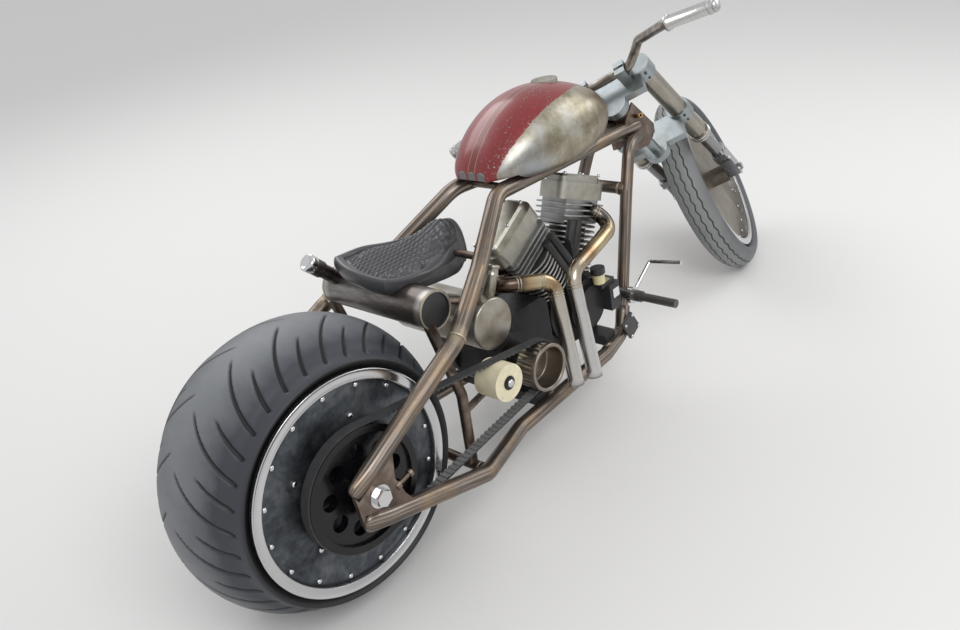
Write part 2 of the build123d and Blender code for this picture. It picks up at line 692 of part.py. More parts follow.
# Side stand on the left, in the leaned frame with its foot on the ground
stand_pivot = Vector(700, 206, 114)
stand_foot = Vector(800, 340, ground)
stand_down = (stand_foot - stand_pivot).normalized()
stand_up = Vector(-0.97, 0.25, 0.05).normalized()
stand_fold = 105  # degrees from its stop on the ground to folded
stand_axis = stand_down.cross(stand_up).normalized()
pin_radius = 8
pin_base = stand_pivot - stand_axis * 10
stand_eye = rod(stand_pivot - stand_axis * 9, stand_pivot + stand_axis * 9, 15)
stand_leg = rod(stand_pivot, stand_foot + Vector(0, 0, 6), 9)
stand_pad = Location(stand_foot + Vector(0, 0, 4)) * Cylinder(26, 8)
stand = stand_eye + stand_leg + stand_pad
stand -= rod(pin_base - stand_axis, stand_pivot + stand_axis * 10, pin_radius + axle_play)
bracket = rod(pin_base, stand_pivot + stand_axis * 10, pin_radius)
bracket += rod(stand_pivot + stand_axis * 10, stand_pivot + stand_axis * 14, 13)
bracket += rod(pin_base - stand_axis * 18, pin_base, 13)

# Lean the whole bike, with both tyres on the ground
leaned = Rotation(-lean, 0, 0)
finished = {}
for name, shape in pieces.items():
    finished[name] = leaned * shape
for name, shape in front.items():
    finished[name] = leaned * steered * shape
for name, shape in front_wheel.items():
    finished[name] = leaned * steered * Pos(fork_offset, 0, 0) * shape
bracket += rod((700, 160, 124), pin_base - stand_axis * 17, 8)
finished["stand_bracket"] = bracket - finished["lower_rails"]
finished["side_stand"] = stand

# The origin is under the middle of the whole, on the ground
boxes = [shape.bounding_box() for shape in finished.values()]
low_x = min(box.min.X for box in boxes)
high_x = max(box.max.X for box in boxes)
low_y = min(box.min.Y for box in boxes)
high_y = max(box.max.Y for box in boxes)
centred = Location((-(low_x + high_x) / 2, -(low_y + high_y) / 2, -ground))
for name, shape in finished.items():
    export_step(centred * shape, "parts/" + name + ".step")
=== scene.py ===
import json
import math
import bpy
import numpy as np
from mathutils import Matrix, Vector


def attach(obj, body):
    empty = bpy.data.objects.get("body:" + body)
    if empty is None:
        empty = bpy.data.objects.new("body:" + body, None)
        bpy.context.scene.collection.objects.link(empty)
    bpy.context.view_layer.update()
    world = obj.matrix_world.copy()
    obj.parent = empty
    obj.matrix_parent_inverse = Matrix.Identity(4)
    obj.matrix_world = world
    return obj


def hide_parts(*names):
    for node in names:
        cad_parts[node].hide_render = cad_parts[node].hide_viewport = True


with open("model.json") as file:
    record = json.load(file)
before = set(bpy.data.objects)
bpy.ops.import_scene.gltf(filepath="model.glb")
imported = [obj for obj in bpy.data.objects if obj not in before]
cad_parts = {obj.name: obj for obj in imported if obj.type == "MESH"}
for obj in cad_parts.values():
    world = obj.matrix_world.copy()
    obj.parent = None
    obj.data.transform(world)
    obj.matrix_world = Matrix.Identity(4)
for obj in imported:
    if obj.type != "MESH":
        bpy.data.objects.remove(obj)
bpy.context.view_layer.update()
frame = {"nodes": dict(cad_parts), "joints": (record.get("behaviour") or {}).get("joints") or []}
nodes = frame["nodes"]
joints = {joint["name"]: joint for joint in frame["joints"]}
print("frame loaded:", len(nodes), "nodes")


# Local frames, in which shapes and patterns are worked out

def unit(vector):
    vector = np.asarray(vector, float)
    return vector / np.linalg.norm(vector)


class LocalFrame:
    # an origin and three axes: forward, left and up
    def __init__(self, origin, left, upHint):
        self.left = unit(left)
        upHint = np.asarray(upHint, float)
        self.up = unit(upHint - self.left * (upHint @ self.left))
        self.axes = np.array([np.cross(self.left, self.up), self.left, self.up])
        self.origin = np.asarray(origin, float)

    def place(self, points):
        # origin plus each coordinate times its axis
        return self.origin + np.asarray(points, float) @ self.axes

    def euler(self):
        return Matrix(self.axes.T.tolist()).to_euler()


bikeSizes = {
    "rearRadius": 0.327, "wheelSide": -0.0175, "headFoot": (1.72266, 0.0, 0.22104), "rake": 43.3,
    "footDrop": 0.606, "forkOffset": 0.131, "legTilt": 4.1, "legHalf": 0.0975,
}
rearJoint = joints["rear_wheel_spin"]
frontJoint = joints["front_wheel_spin"]
steerJoint = joints["steering_turn"]
rearWheel = LocalFrame(rearJoint["pos_m"], rearJoint["axis"], (0, 0, 1))
frontWheel = LocalFrame(frontJoint["pos_m"], frontJoint["axis"], steerJoint["axis"])
bikeFoot = rearWheel.place((0, -bikeSizes["wheelSide"], -bikeSizes["rearRadius"]))
bike = LocalFrame(bikeFoot, rearJoint["axis"], (0, 0, 1))
forkFoot = np.asarray(steerJoint["pos_m"]) - bikeSizes["footDrop"] * unit(steerJoint["axis"])
fork = LocalFrame(forkFoot, frontJoint["axis"], steerJoint["axis"])


# Shader tools

def shortcut(operation, *fixed, clamp=False):
    # a method that makes one kind of Math node
    return lambda self, *others: self.maths(operation, *fixed, *others, clamp=clamp)


class Value:
    # a number socket that can be used in Python expressions
    def __init__(self, tree, socket):
        self.tree = tree
        self.socket = socket

    def maths(self, operation, *others, clamp=False):
        settings = {"operation": operation, "use_clamp": clamp}
        node = addNode(self.tree, "ShaderNodeMath", settings, dict(enumerate((self,) + others)))
        return Value(self.tree, node.outputs[0])

    __add__ = __radd__ = shortcut("ADD")
    __sub__ = shortcut("SUBTRACT")
    __mul__ = __rmul__ = shortcut("MULTIPLY")
    __truediv__ = shortcut("DIVIDE")
    __pow__ = shortcut("POWER")
    __neg__ = shortcut("MULTIPLY", -1.0)
    absolute = shortcut("ABSOLUTE")
    atLeast = shortcut("MAXIMUM")
    atMost = shortcut("MINIMUM")
    sine = shortcut("SINE")
    part = shortcut("FRACT")
    clamped = shortcut("ADD", 0.0, clamp=True)

    def __rsub__(self, other):
        return -self + other

    def __rtruediv__(self, other):
        return self**-1.0 * other

    def over(self, edge, soft=0.0005):
        # 0 below the edge, 1 above it, with a straight ramp between
        return ((self - edge) / soft + 0.5).clamped()

    def within(self, middle, half, soft=0.0003):
        # 1 up to a half width on both sides of the middle, 0 outside
        return 1.0 - (self - middle).absolute().over(half, soft)

    def between(self, low, high):
        # a straight way from low to high as the value goes from 0 to 1
        return self * (high - low) + low


def distance(*offsets):
    # square root of the sum of the squares
    total = offsets[0] ** 2.0
    for offset in offsets[1:]:
        total = total + offset**2.0
    return total**0.5


def feed(tree, item, socket):
    # a link from a socket, or else a fixed number, vector or colour
    if isinstance(item, Value):
        item = item.socket
    if isinstance(item, bpy.types.NodeSocket):
        tree.links.new(item, socket)
    elif socket.type == "RGBA":
        socket.default_value = (*item, 1.0)
    else:
        socket.default_value = item


def addNode(tree, kind, settings=None, inputs=None):
    # the settings come first, then the values or links of the sockets
    node = tree.nodes.new(kind)
    for name, value in (settings or {}).items():
        if name == "stops":
            elements = node.color_ramp.elements
            while len(elements) < len(value):
                elements.new(1.0)
            for element, (place, colour) in zip(elements, value):
                element.position = place
                element.color = (*colour, 1.0)
        else:
            setattr(node, name, value)
    for slot, item in (inputs or {}).items():
        feed(tree, item, node.inputs[slot])
    return node


class Finish:
    # one material, with short ways to the nodes used most; its spot is the place in a local frame
    def __init__(self, name, where=None, **fixed):
        self.material = bpy.data.materials.new(name)
        self.material.use_nodes = True
        self.tree = self.material.node_tree
        self.tree.nodes.clear()
        self.shader = self.add("ShaderNodeBsdfPrincipled")
        self.add("ShaderNodeOutputMaterial", inputs={"Surface": self.shader.outputs[0]})
        self.spot = self.local(where) if where else None
        for socket, value in fixed.items():
            self.set(socket.replace("_", " "), value)

    def set(self, socket, item):
        feed(self.tree, item, self.shader.inputs[socket])

    def add(self, kind, settings=None, inputs=None):
        return addNode(self.tree, kind, settings, inputs)

    def local(self, where):
        # object coordinates turned into one of the local frames
        return self.add("ShaderNodeMapping", {"vector_type": "TEXTURE"}, {
            "Vector": self.add("ShaderNodeTexCoord").outputs["Object"],
            "Location": tuple(where.origin), "Rotation": tuple(where.euler()),
        }).outputs[0]

    def split(self, vector):
        node = self.add("ShaderNodeSeparateXYZ", inputs={0: vector})
        return [Value(self.tree, socket) for socket in node.outputs]

    def uv(self):
        return self.split(self.add("ShaderNodeTexCoord").outputs["UV"])[:2]

    def combine(self, *parts):
        return self.add("ShaderNodeCombineXYZ", inputs=dict(enumerate(parts))).outputs[0]

    def wrapped(self, along, around):
        # the length along a tube with the angle round it, so that no seam shows
        u, v = self.uv()
        turn = v * (2 * math.pi)
        return self.combine(u * along, turn.sine() * around, (turn + math.pi / 2).sine() * around)

    def noise(self, scale, detail=4.0, rough=0.55, distortion=0.0, vector=None):
        # over the spot unless a vector is given; a tuple as the scale draws the pattern out by axis
        if vector is None:
            vector = self.spot
        if isinstance(scale, tuple):
            inputs = {0: vector, 1: scale}
            vector = self.add("ShaderNodeVectorMath", {"operation": "MULTIPLY"}, inputs).outputs[0]
            scale = 1.0
        return Value(self.tree, self.add("ShaderNodeTexNoise", inputs={
            "Vector": vector, "Scale": scale, "Detail": detail, "Roughness": rough, "Distortion": distortion,
        }).outputs[0])

    def ramp(self, value, *stops):
        return self.add("ShaderNodeValToRGB", {"stops": stops}, {0: value}).outputs[0]

    def mix(self, factor, first, second):
        return self.add("ShaderNodeMix", {"data_type": "RGBA"}, {0: factor, 6: first, 7: second}).outputs[2]

    def dress(self, colour, rough, height=None, depth=0.0, strength=1.0):
        # colour, roughness and bump of the surface, and the material that is then ready
        self.set("Base Color", colour)
        self.set("Roughness", rough)
        if height is not None:
            inputs = {"Height": height, "Distance": depth, "Strength": strength}
            self.set("Normal", self.add("ShaderNodeBump", inputs=inputs).outputs[0])
        return self.material


# Sizes that both a shape and its finish use

frameSizes = {
    "tube": 0.020, "down": 0.017, "bend": 0.085, "railBend": 0.060, "downBend": 0.060,
    "upperPinch": 0.07, "railPinch": 0.06, "cross": (1.142, 0.080, 0.532),
    "joint": (0.308, 0.226, 0.522), "jointBright": 0.034,
}
tankSizes = {
    "roundCentre": (0.494, 0.0, 0.444), "roundHalf": 0.146, "roundRadius": 0.064, "edge": 0.006,
    "oilCentre": (0.312, 0.576), "oilHalf": 0.172, "oilRadius": 0.045,
    "dressedFrom": 0.153, "disc": 0.0405, "discDepth": 0.0062,
}
paintSizes = {
    "band": 0.097, "frontFrom": 0.84, "frontBy": 1.1, "rearFrom": 0.80, "rearBy": 1.4, "line": 0.0105,
    "scallop": 0.031, "scallopTop": 0.7515, "scallopHalf": 0.0118, "scallopFront": 0.705, "scallopSide": 0.047,
    "capX": 0.962, "capTop": 0.866, "capRadius": 0.0352,
    "capRings": ((0.021, 0.0011), (0.0295, 0.0009), (0.0352, 0.0008)),
    "stain": (1.050, 0.092, 0.812), "cool": (0.740, 0.108, 0.742),
}
engineSizes = {
    "crank": (0.884, 0.286), "tilts": {"front": 23, "rear": -30}, "coverTop": 0.354,
    "coverBolt": (0.0048, 0.005), "finEdge": 0.0742, "tubeSide": -0.0505, "tubeInner": 0.027,
    "reservoir": (0.934, -0.112, 0.356),
}
pipeSizes = {
    "radius": 0.020, "bore": 0.018, "bends": {"rear": 0.042, "front": 0.044}, "length": 0.62,
    "weld": 0.0011, "weldGap": 0.004,
}
barSizes = {
    "radius": 0.0127, "bend": 0.034, "grip": 0.0170, "gripFrom": 0.262, "gripLength": 0.125, "collar": 0.0205,
    "collarLength": 0.008, "ease": 0.001, "bandBack": 0.014, "sleeveSide": 0.060, "sleeveLength": 0.032,
}
rollerSizes = {"centre": (0.416, 0.3531), "armFace": -0.176, "boltFace": -0.2438, "bearingFace": -0.2430}


# Finishes

def tubeFinish(name, bronzed):
    # raw drawn tube: brown-grey scale, brighter streaks along it and a few bronze patches
    m = Finish(name, bike, Metallic=0.9)
    x, y, z = m.split(m.spot)
    jointX, jointY, jointZ = frameSizes["joint"]
    streaks = m.noise(1.0, 6.0, 0.65, vector=m.wrapped(4.0, 5.0))
    patches = m.noise(9.0, 4.0, 0.6)
    grain = m.noise(420.0, 2.0)
    colour = m.ramp(streaks, (0.32, (0.075, 0.06, 0.05)), (0.5, (0.17, 0.138, 0.115)),
                    (0.66, (0.36, 0.32, 0.28)))
    colour = m.mix(patches.over(0.59, 0.18) * bronzed, colour, (0.34, 0.225, 0.12))
    joint = distance(x - jointX, y.absolute() - jointY, z - jointZ)
    bright = ((frameSizes["jointBright"] - joint) * 60.0 + (patches - 0.5) * 1.5).clamped()
    return m.dress(m.mix(bright * 0.8, colour, (0.46, 0.38, 0.26)), streaks.between(0.2, 0.46) + grain * 0.08,
                   streaks * 0.6 + grain * 0.4, 0.0006, 0.5)


def steelFinish():
    # the same raw steel where no direction runs along the piece
    m = Finish("rawSteel", bike, Metallic=0.9)
    patches = m.noise(14.0, 6.0, 0.62)
    grain = m.noise(500.0, 2.0)
    colour = m.ramp(patches, (0.34, (0.085, 0.062, 0.05)), (0.52, (0.17, 0.128, 0.105)),
                    (0.7, (0.33, 0.275, 0.23)))
    return m.dress(colour, patches.between(0.3, 0.52), patches * 0.5 + grain * 0.5, 0.0006, 0.5)


def plainFinish(name, colour, rough):
    m = Finish(name, bike)
    tone = m.noise(60.0, 3.0)
    darker = tuple(0.85 * part for part in colour)
    return m.dress(m.mix(tone, colour, darker), tone.between(rough, rough + 0.1))


def brushedFinish(name, centre):
    # steel brushed in rings round an axis across the bike, browner towards the edge
    m = Finish(name, bike, Metallic=0.95)
    x, y, z = m.split(m.spot)
    reach = distance(x - centre[0], z - centre[2])
    rings = m.noise(1.0, 3.0, vector=m.combine(reach * 900.0, y * 30.0))
    stains = m.noise(16.0, 5.0, 0.6)
    colour = m.ramp(stains, (0.35, (0.27, 0.235, 0.18)), (0.6, (0.44, 0.41, 0.36)))
    return m.dress(m.mix(rings * 0.3, colour, (0.2, 0.18, 0.15)), rings.between(0.26, 0.4), rings, 0.0002, 0.3)


def coverFinish(name, where, dark, light, blue, edge):
    # hot-rolled plate: clouds of darker scale, faint blue, scratches, and painted shade near its edge for the
    # dark gap before the rim lip
    m = Finish(name, where, Metallic=0.8)
    x, y, z = m.split(m.spot)
    clouds = m.noise(7.5, 8.0, 0.66, 0.7)
    fine = m.noise(55.0, 5.0, 0.7)
    scratch = m.noise((14.0, 14.0, 420.0), 3.0)
    colour = m.ramp(clouds * 0.72 + fine * 0.28, (0.40, dark), (0.5, blue), (0.66, light))
    # painted shade: past the edge radius the plate goes black, with a ragged line, for the shaded gap between
    # cover and rim lip
    rim = ((distance(x, z) - edge) / 0.008 + (clouds - 0.5) * 2.0).clamped()
    return m.dress(m.mix(rim, colour, (0.02, 0.02, 0.02)), clouds.between(0.26, 0.5) + scratch * 0.05,
                   fine * 0.6 + scratch * 0.4, 0.0005, 0.35)


def oilTankFinish():
    # drawn tube with brown scale, bright where the end welds were dressed, dark scale on the end discs
    m = Finish("oilTankSteel", bike, Metallic=0.85)
    x, y, z = m.split(m.spot)
    side = y.absolute()
    oilX, oilZ = tankSizes["oilCentre"]
    reach = distance(x - oilX, z - oilZ)
    clouds = m.noise((9.0, 3.0, 9.0), 7.0, 0.62)
    fine = m.noise((160.0, 30.0, 160.0))
    scratch = m.noise((40.0, 1.0, 500.0), 3.0)
    colour = m.ramp(clouds * 0.8 + fine * 0.2,
                    (0.38, (0.055, 0.045, 0.042)), (0.5, (0.13, 0.11, 0.1)), (0.64, (0.27, 0.26, 0.26)))
    dressed = (side.over(tankSizes["dressedFrom"], 0.014) * (0.35 + clouds * 0.9)).clamped()
    disc = side.over(tankSizes["oilHalf"] - tankSizes["discDepth"], 0.0006)
    disc = disc * (1.0 - reach.over(tankSizes["disc"], 0.001))
    colour = m.mix(dressed, colour, (0.42, 0.41, 0.39))
    colour = m.mix(disc, colour, m.mix(scratch, (0.045, 0.046, 0.048), (0.1, 0.1, 0.1)))
    return m.dress(colour, clouds.between(0.24, 0.46) + disc * 0.12, fine * 0.6 + scratch * 0.4, 0.0004, 0.35)


def polishedFinish(name, colour, rough):
    # polished metal with faint polishing marks and a few dull smears
    m = Finish(name, bike, Metallic=1.0)
    smears = m.noise(15.0, 5.0, 0.6)
    marks = m.noise((360.0, 1800.0, 360.0), 2.0)
    dull = tuple(0.82 * part for part in colour)
    return m.dress(m.mix(smears, colour, dull), smears.between(rough * 0.7, rough * 1.5) + marks * 0.05,
                   marks, 0.0002, 0.25)


def alloyFinish(name, colour, rough):
    # cast or machined alloy: satin, with brown stains
    m = Finish(name, bike, Metallic=0.9)
    stains = m.noise(22.0, 6.0, 0.65)
    grain = m.noise(700.0, 2.0)
    brown = (colour[0] * 0.62, colour[1] * 0.55, colour[2] * 0.44)
    return m.dress(m.mix((stains - 0.45) * 2.2, colour, brown), stains.between(rough * 0.8, rough * 1.35),
                   grain, 0.0003, 0.35)


def blackFinish(name, colour, rough, dusty):
    # black paint with dust and rubbed spots
    m = Finish(name, bike, Coat_Weight=0.12, Coat_Roughness=0.1, Specular_IOR_Level=0.3)
    dust = m.noise(30.0, 6.0, 0.7)
    return m.dress(m.mix((dust - 0.52) * (1.4 * dusty), colour, (0.07, 0.066, 0.06)),
                   dust.between(rough, rough + 0.25))


def cylinderFinish(name, tilt):
    # black barrel whose fins are bright at their machined edges, beside black pushrod tubes
    m = Finish(name, bike)
    x, y, z = m.split(m.spot)
    crankX, crankZ = engineSizes["crank"]
    angle = math.radians(tilt)
    ahead = (x - crankX) * math.cos(angle) - (z - crankZ) * math.sin(angle)
    dust = m.noise(40.0, 5.0, 0.7)
    inward = ahead * math.copysign(1, -tilt)
    tubes = (1.0 - y.over(engineSizes["tubeSide"], 0.001)) * inward.over(engineSizes["tubeInner"], 0.001)
    edge = distance(ahead, y).over(engineSizes["finEdge"], 0.002) * (1.0 - tubes)
    m.set("Metallic", edge * 0.9)
    colour = m.mix(dust, (0.012, 0.012, 0.013), (0.05, 0.048, 0.046))
    return m.dress(m.mix(edge, colour, (0.58, 0.57, 0.54)), dust.between(0.34, 0.55) - edge * 0.12)


def pipeFinish(name, *stops):
    # steel pipe coloured by heat along its length in metres, brushed round the straight runs
    m = Finish(name, Metallic=1.0)
    length = pipeSizes["length"]
    clouds = m.noise(1.0, vector=m.wrapped(9.0, 0.35))
    brushed = m.noise(1.0, 2.0, vector=m.wrapped(260.0, 0.5))
    place = m.uv()[0] / length + (clouds - 0.5) * 0.07
    colour = m.ramp(place, *((at / length, tint) for at, tint in stops))
    return m.dress(m.mix(brushed * 0.2, colour, (0.16, 0.14, 0.12)), clouds.between(0.16, 0.32),
                   brushed, 0.0001, 0.06)


def forkFinish():
    # bare tube of the fork: golden grey, brushed along its length
    m = Finish("forkTube", frontWheel, Metallic=0.95)
    streaks = m.noise((150.0, 150.0, 3.0), 3.0)
    colour = m.mix(m.noise(10.0, 5.0, 0.6), (0.27, 0.245, 0.2), (0.5, 0.47, 0.41))
    return m.dress(m.mix(streaks * 0.35, colour, (0.15, 0.135, 0.11)), streaks.between(0.2, 0.36),
                   streaks, 0.0003, 0.3)


def barFinish():
    # bare bent tube, brown-grey, with bright grips at its ends
    m = Finish("barSteel", frontWheel, Metallic=0.95)
    clouds = m.noise(26.0, 6.0, 0.62)
    rings = m.noise((4.0, 260.0, 4.0), 2.0)
    grip = m.split(m.spot)[1].absolute().over(barSizes["gripFrom"], 0.001)
    colour = m.ramp(clouds, (0.36, (0.13, 0.11, 0.092)), (0.52, (0.27, 0.24, 0.205)),
                    (0.68, (0.42, 0.39, 0.35)))
    colour = m.mix(grip, colour, m.mix(rings, (0.62, 0.62, 0.6), (0.4, 0.4, 0.39)))
    return m.dress(colour, clouds.between(0.24, 0.42) - grip * 0.08, rings * grip + clouds * 0.4, 0.0004, 0.35)


def reservoirFinish():
    # black cap and bracket with a yellowed body between
    m = Finish("reservoir", bike)
    x, y, z = m.split(m.spot)
    middleX, middleY, middleZ = engineSizes["reservoir"]
    dust = m.noise(50.0, 5.0, 0.7)
    body = z.within(middleZ, 0.013) * (1.0 - distance(x - middleX, y - middleY).over(0.034, 0.001))
    black = m.mix(dust * 0.6, (0.012, 0.012, 0.013), (0.06, 0.06, 0.06))
    return m.dress(m.mix(body, black, (0.62, 0.56, 0.33)), dust.between(0.3, 0.55))


def rubberFinish(name, wall, dark, light, rows, where):
    # rubber: black by the rim, with painted shade in the grooves in that same black, greyed by dust towards the
    # crown, with moulding grain
    m = Finish(name, where)
    x, y, z = m.split(m.spot)
    reach = distance(x, z)
    dust = m.noise(6.0, 6.0, 0.62, 0.5)
    smudge = m.noise((15.0, 6.0, 15.0), 5.0, 0.6)
    grain = m.noise(600.0, 2.0)
    crown = (reach - rows[0]) / (rows[1] - rows[0]) + (dust - 0.5) * 1.1 + (smudge - 0.5) * 0.5
    # painted shade in the grooves: the wall colour is laid into them by their depth, which u carries, as well
    # as below the wall's radius
    clearOfWallAndGrooveShade = reach.over(rows[2], 0.006) * (1.0 - (m.uv()[0] * 1.5).clamped() * 0.94)
    return m.dress(m.mix(clearOfWallAndGrooveShade, wall, m.mix(crown.clamped(), dark, light)), dust.between(0.4, 0.66),
                   grain, 0.0004, 0.4)


def beltFinish():
    # black back, the toothed side a lighter grey
    m = Finish("beltRubber", bike)
    v = m.uv()[1]
    dust = m.noise(60.0, 6.0, 0.65)
    inside = v.over(0.5, 0.001) * (1.0 - v.over(0.75, 0.001))
    colour = m.mix(dust, (0.014, 0.014, 0.015), (0.06, 0.06, 0.062))
    return m.dress(m.mix(inside * 0.8, colour, (0.19, 0.19, 0.19)), dust.between(0.45, 0.7))


def leatherFinish():
    m = Finish("saddleLeather", bike, Coat_Weight=0.35, Coat_Roughness=0.22)
    grain = m.add("ShaderNodeTexVoronoi", inputs={"Vector": m.spot, "Scale": 420.0}).outputs[0]
    tone = m.noise(18.0, 5.0)
    return m.dress(m.mix(tone, (0.018, 0.018, 0.02), (0.045, 0.045, 0.05)), tone.between(0.3, 0.46),
                   grain, 0.0006, 0.3)


def creamFinish():
    # cream roller on a black arm
    m = Finish("creamPlastic", bike)
    arm = m.split(m.spot)[1].over(rollerSizes["armFace"], 0.0006)
    dirt = m.noise(45.0, 6.0, 0.7)
    cream = m.mix((dirt - 0.4) * 1.5, (0.72, 0.66, 0.47), (0.42, 0.37, 0.25))
    return m.dress(m.mix(arm, cream, (0.02, 0.02, 0.02)), dirt.between(0.4, 0.6))


def tankFinish():
    # worn red band with gold lines over the top of bare brushed sides; the cap and the chips are bare too
    sizes = paintSizes
    line = sizes["line"]
    m = Finish("tankPaint", bike, Coat_Roughness=0.14)
    x, y, z = m.split(m.spot)
    side = y.absolute()
    broad = m.noise(10.0, 6.0, 0.6)
    fine = m.noise(60.0, 6.0, 0.7)
    specks = m.noise(170.0, 4.0, 0.65)
    brush = m.noise((16.0, 90.0, 420.0))

    # the band narrows by a square law towards both ends, and its edge is ragged
    half = sizes["band"] - (x - sizes["frontFrom"]).atLeast(0.0) ** 2.0 * sizes["frontBy"]
    half = half - (sizes["rearFrom"] - x).atLeast(0.0) ** 2.0 * sizes["rearBy"] + (fine - 0.5) * 0.009
    inside = half - side
    chips = ((specks - 0.615 - inside.atMost(0.03) * 1.9) * 26.0 + (broad - 0.5) * 9.0).clamped()
    cap = distance(x - sizes["capX"], y).atLeast((sizes["capTop"] - z) * 50.0)
    paint = inside.over(0.0, 0.0012) * (1.0 - chips) * cap.over(sizes["capRadius"], 0.0008)

    # three round-topped scallops of bare primer at the tail
    wave = ((y / sizes["scallop"] + 0.5).part() - 0.5) * sizes["scallop"]
    primer = (sizes["scallopTop"] - wave**2.0 * 40.0 - z).over(0.0, 0.0012)
    primer = primer * (1.0 - wave.absolute().over(sizes["scallopHalf"], 0.001))
    primer = primer * (1.0 - x.over(sizes["scallopFront"], 0.002))
    primer = primer * (1.0 - side.over(sizes["scallopSide"], 0.001)) * paint

    red = m.mix(broad, (0.26, 0.006, 0.009), (0.12, 0.004, 0.006))
    red = m.mix((1.0 - side.over(line, 0.0006)) * 0.45, red, (0.08, 0.006, 0.01))
    # painted shade: a dark line at twice the gold line's distance from the middle, standing in for a shadow
    # edge along the band
    red = m.mix(side.within(2.0 * line, 0.0008) * 0.7, red, (0.05, 0.004, 0.006))
    red = m.mix(side.within(line, 0.0008) * (0.45 + broad * 0.6), red, (0.42, 0.26, 0.12))
    red = m.mix((fine - 0.57) * 2.0, red, (0.27, 0.09, 0.09))
    bare = m.ramp(broad * 0.75 + fine * 0.25,
                  (0.38, (0.2, 0.17, 0.11)), (0.5, (0.37, 0.335, 0.255)), (0.62, (0.53, 0.51, 0.46)))
    bare = m.mix(brush * 0.35, bare, (0.17, 0.145, 0.1))
    near = {name: distance(x - sizes[name][0], side - sizes[name][1], z - sizes[name][2])
            for name in ("stain", "cool")}
    stain = ((0.062 - near["stain"]) * 26.0 + (fine - 0.55) * 3.5).clamped()
    bare = m.mix(stain * 0.75, bare, (0.16, 0.095, 0.035))
    cool = ((0.1 - near["cool"]) * 10.0 + (broad - 0.5) * 2.0).clamped()
    bare = m.mix(cool * 0.6, bare, (0.32, 0.36, 0.42))
    rings = sum(cap.within(radius, width) for radius, width in sizes["capRings"])
    bare = m.mix(rings.atMost(1.0) * 0.75, bare, (0.05, 0.045, 0.04))
    grey = m.mix(fine, (0.13, 0.125, 0.125), (0.24, 0.23, 0.23))
    m.set("Metallic", 0.92 - paint * 0.92)
    m.set("Coat Weight", paint * (1.0 - primer) * 0.4)
    return m.dress(m.mix(primer, m.mix(paint, bare, red), grey),
                   broad.between(0.22, 0.4) + brush * 0.08 + primer * 0.3,
                   paint * 0.6 + brush * 0.25, 0.0005, 0.5)


finishes = {
    "tube": tubeFinish("rawTube", 0.4),
    "tubeBronze": tubeFinish("bronzeTube", 0.6),
    "steel": steelFinish(),
    "rearCover": coverFinish("rearCover", rearWheel, (0.03, 0.03, 0.033), (0.17, 0.175, 0.18),
                             (0.068, 0.077, 0.088), 0.215),
    "frontCover": coverFinish("frontCover", frontWheel, (0.12, 0.1, 0.078), (0.3, 0.27, 0.22),
                              (0.2, 0.175, 0.14), 0.233),
    "tankSteel": oilTankFinish(),
    "brushedSteel": brushedFinish("brushedTank", tankSizes["roundCentre"]),
    "polish": polishedFinish("polishedRim", (0.62, 0.62, 0.63), 0.13),
    "chrome": polishedFinish("chromeSteel", (0.7, 0.7, 0.71), 0.08),
    "slider": polishedFinish("sliderChrome", (0.3, 0.3, 0.31), 0.12),
    "weld": polishedFinish("weldBead", (0.42, 0.36, 0.27), 0.32),
    "drum": polishedFinish("drumSteel", (0.3, 0.265, 0.225), 0.26),
    "brass": polishedFinish("brass", (0.62, 0.42, 0.18), 0.22),
    "alloy": alloyFinish("agedAlloy", (0.5, 0.5, 0.5), 0.28),
    "head": alloyFinish("headAlloy", (0.38, 0.385, 0.385), 0.4),
    "rocker": alloyFinish("rockerAlloy", (0.4, 0.39, 0.345), 0.36),
    "clamp": alloyFinish("clampAlloy", (0.34, 0.375, 0.39), 0.3),
    "peg": alloyFinish("pegSteel", (0.16, 0.155, 0.15), 0.4),
    "darkSteel": alloyFinish("darkSteel", (0.1, 0.1, 0.1), 0.3),
    "black": blackFinish("blackGloss", (0.004, 0.004, 0.005), 0.12, 0.35),
    "case": blackFinish("caseBlack", (0.013, 0.013, 0.014), 0.36, 1.0),
    "frontCylinder": cylinderFinish("frontCylinder", engineSizes["tilts"]["front"]),
    "rearCylinder": cylinderFinish("rearCylinder", engineSizes["tilts"]["rear"]),
    "rearPipe": pipeFinish(
        "rearPipeSteel", (0.0, (0.07, 0.05, 0.04)), (0.205, (0.1, 0.072, 0.055)), (0.222, (0.4, 0.28, 0.15)),
        (0.25, (0.52, 0.43, 0.28)), (0.295, (0.32, 0.2, 0.1)), (0.33, (0.52, 0.48, 0.41)),
        (0.62, (0.62, 0.61, 0.59)),
    ),
    "frontPipe": pipeFinish(
        "frontPipeSteel", (0.0, (0.1, 0.09, 0.085)), (0.075, (0.13, 0.115, 0.1)), (0.1, (0.44, 0.34, 0.2)),
        (0.19, (0.5, 0.4, 0.24)), (0.225, (0.28, 0.18, 0.09)), (0.32, (0.46, 0.4, 0.32)),
        (0.36, (0.62, 0.61, 0.59)),
    ),
    "forkTube": forkFinish(),
    "bar": barFinish(),
    "reservoir": reservoirFinish(),
    "rearRubber": rubberFinish("rearTyreRubber", (0.008, 0.008, 0.009), (0.03, 0.033, 0.042),
                               (0.17, 0.178, 0.19), (0.290, 0.330, 0.264), rearWheel),
    "frontRubber": rubberFinish("frontTyreRubber", (0.02, 0.02, 0.02), (0.09, 0.095, 0.1),
                                (0.22, 0.225, 0.225), (0.280, 0.318, 0.262), frontWheel),
    "belt": beltFinish(),
    "leather": leatherFinish(),
    "cream": creamFinish(),
    "tank": tankFinish(),
    "labelWhite": plainFinish("labelWhite", (0.72, 0.72, 0.72), 0.45),
}
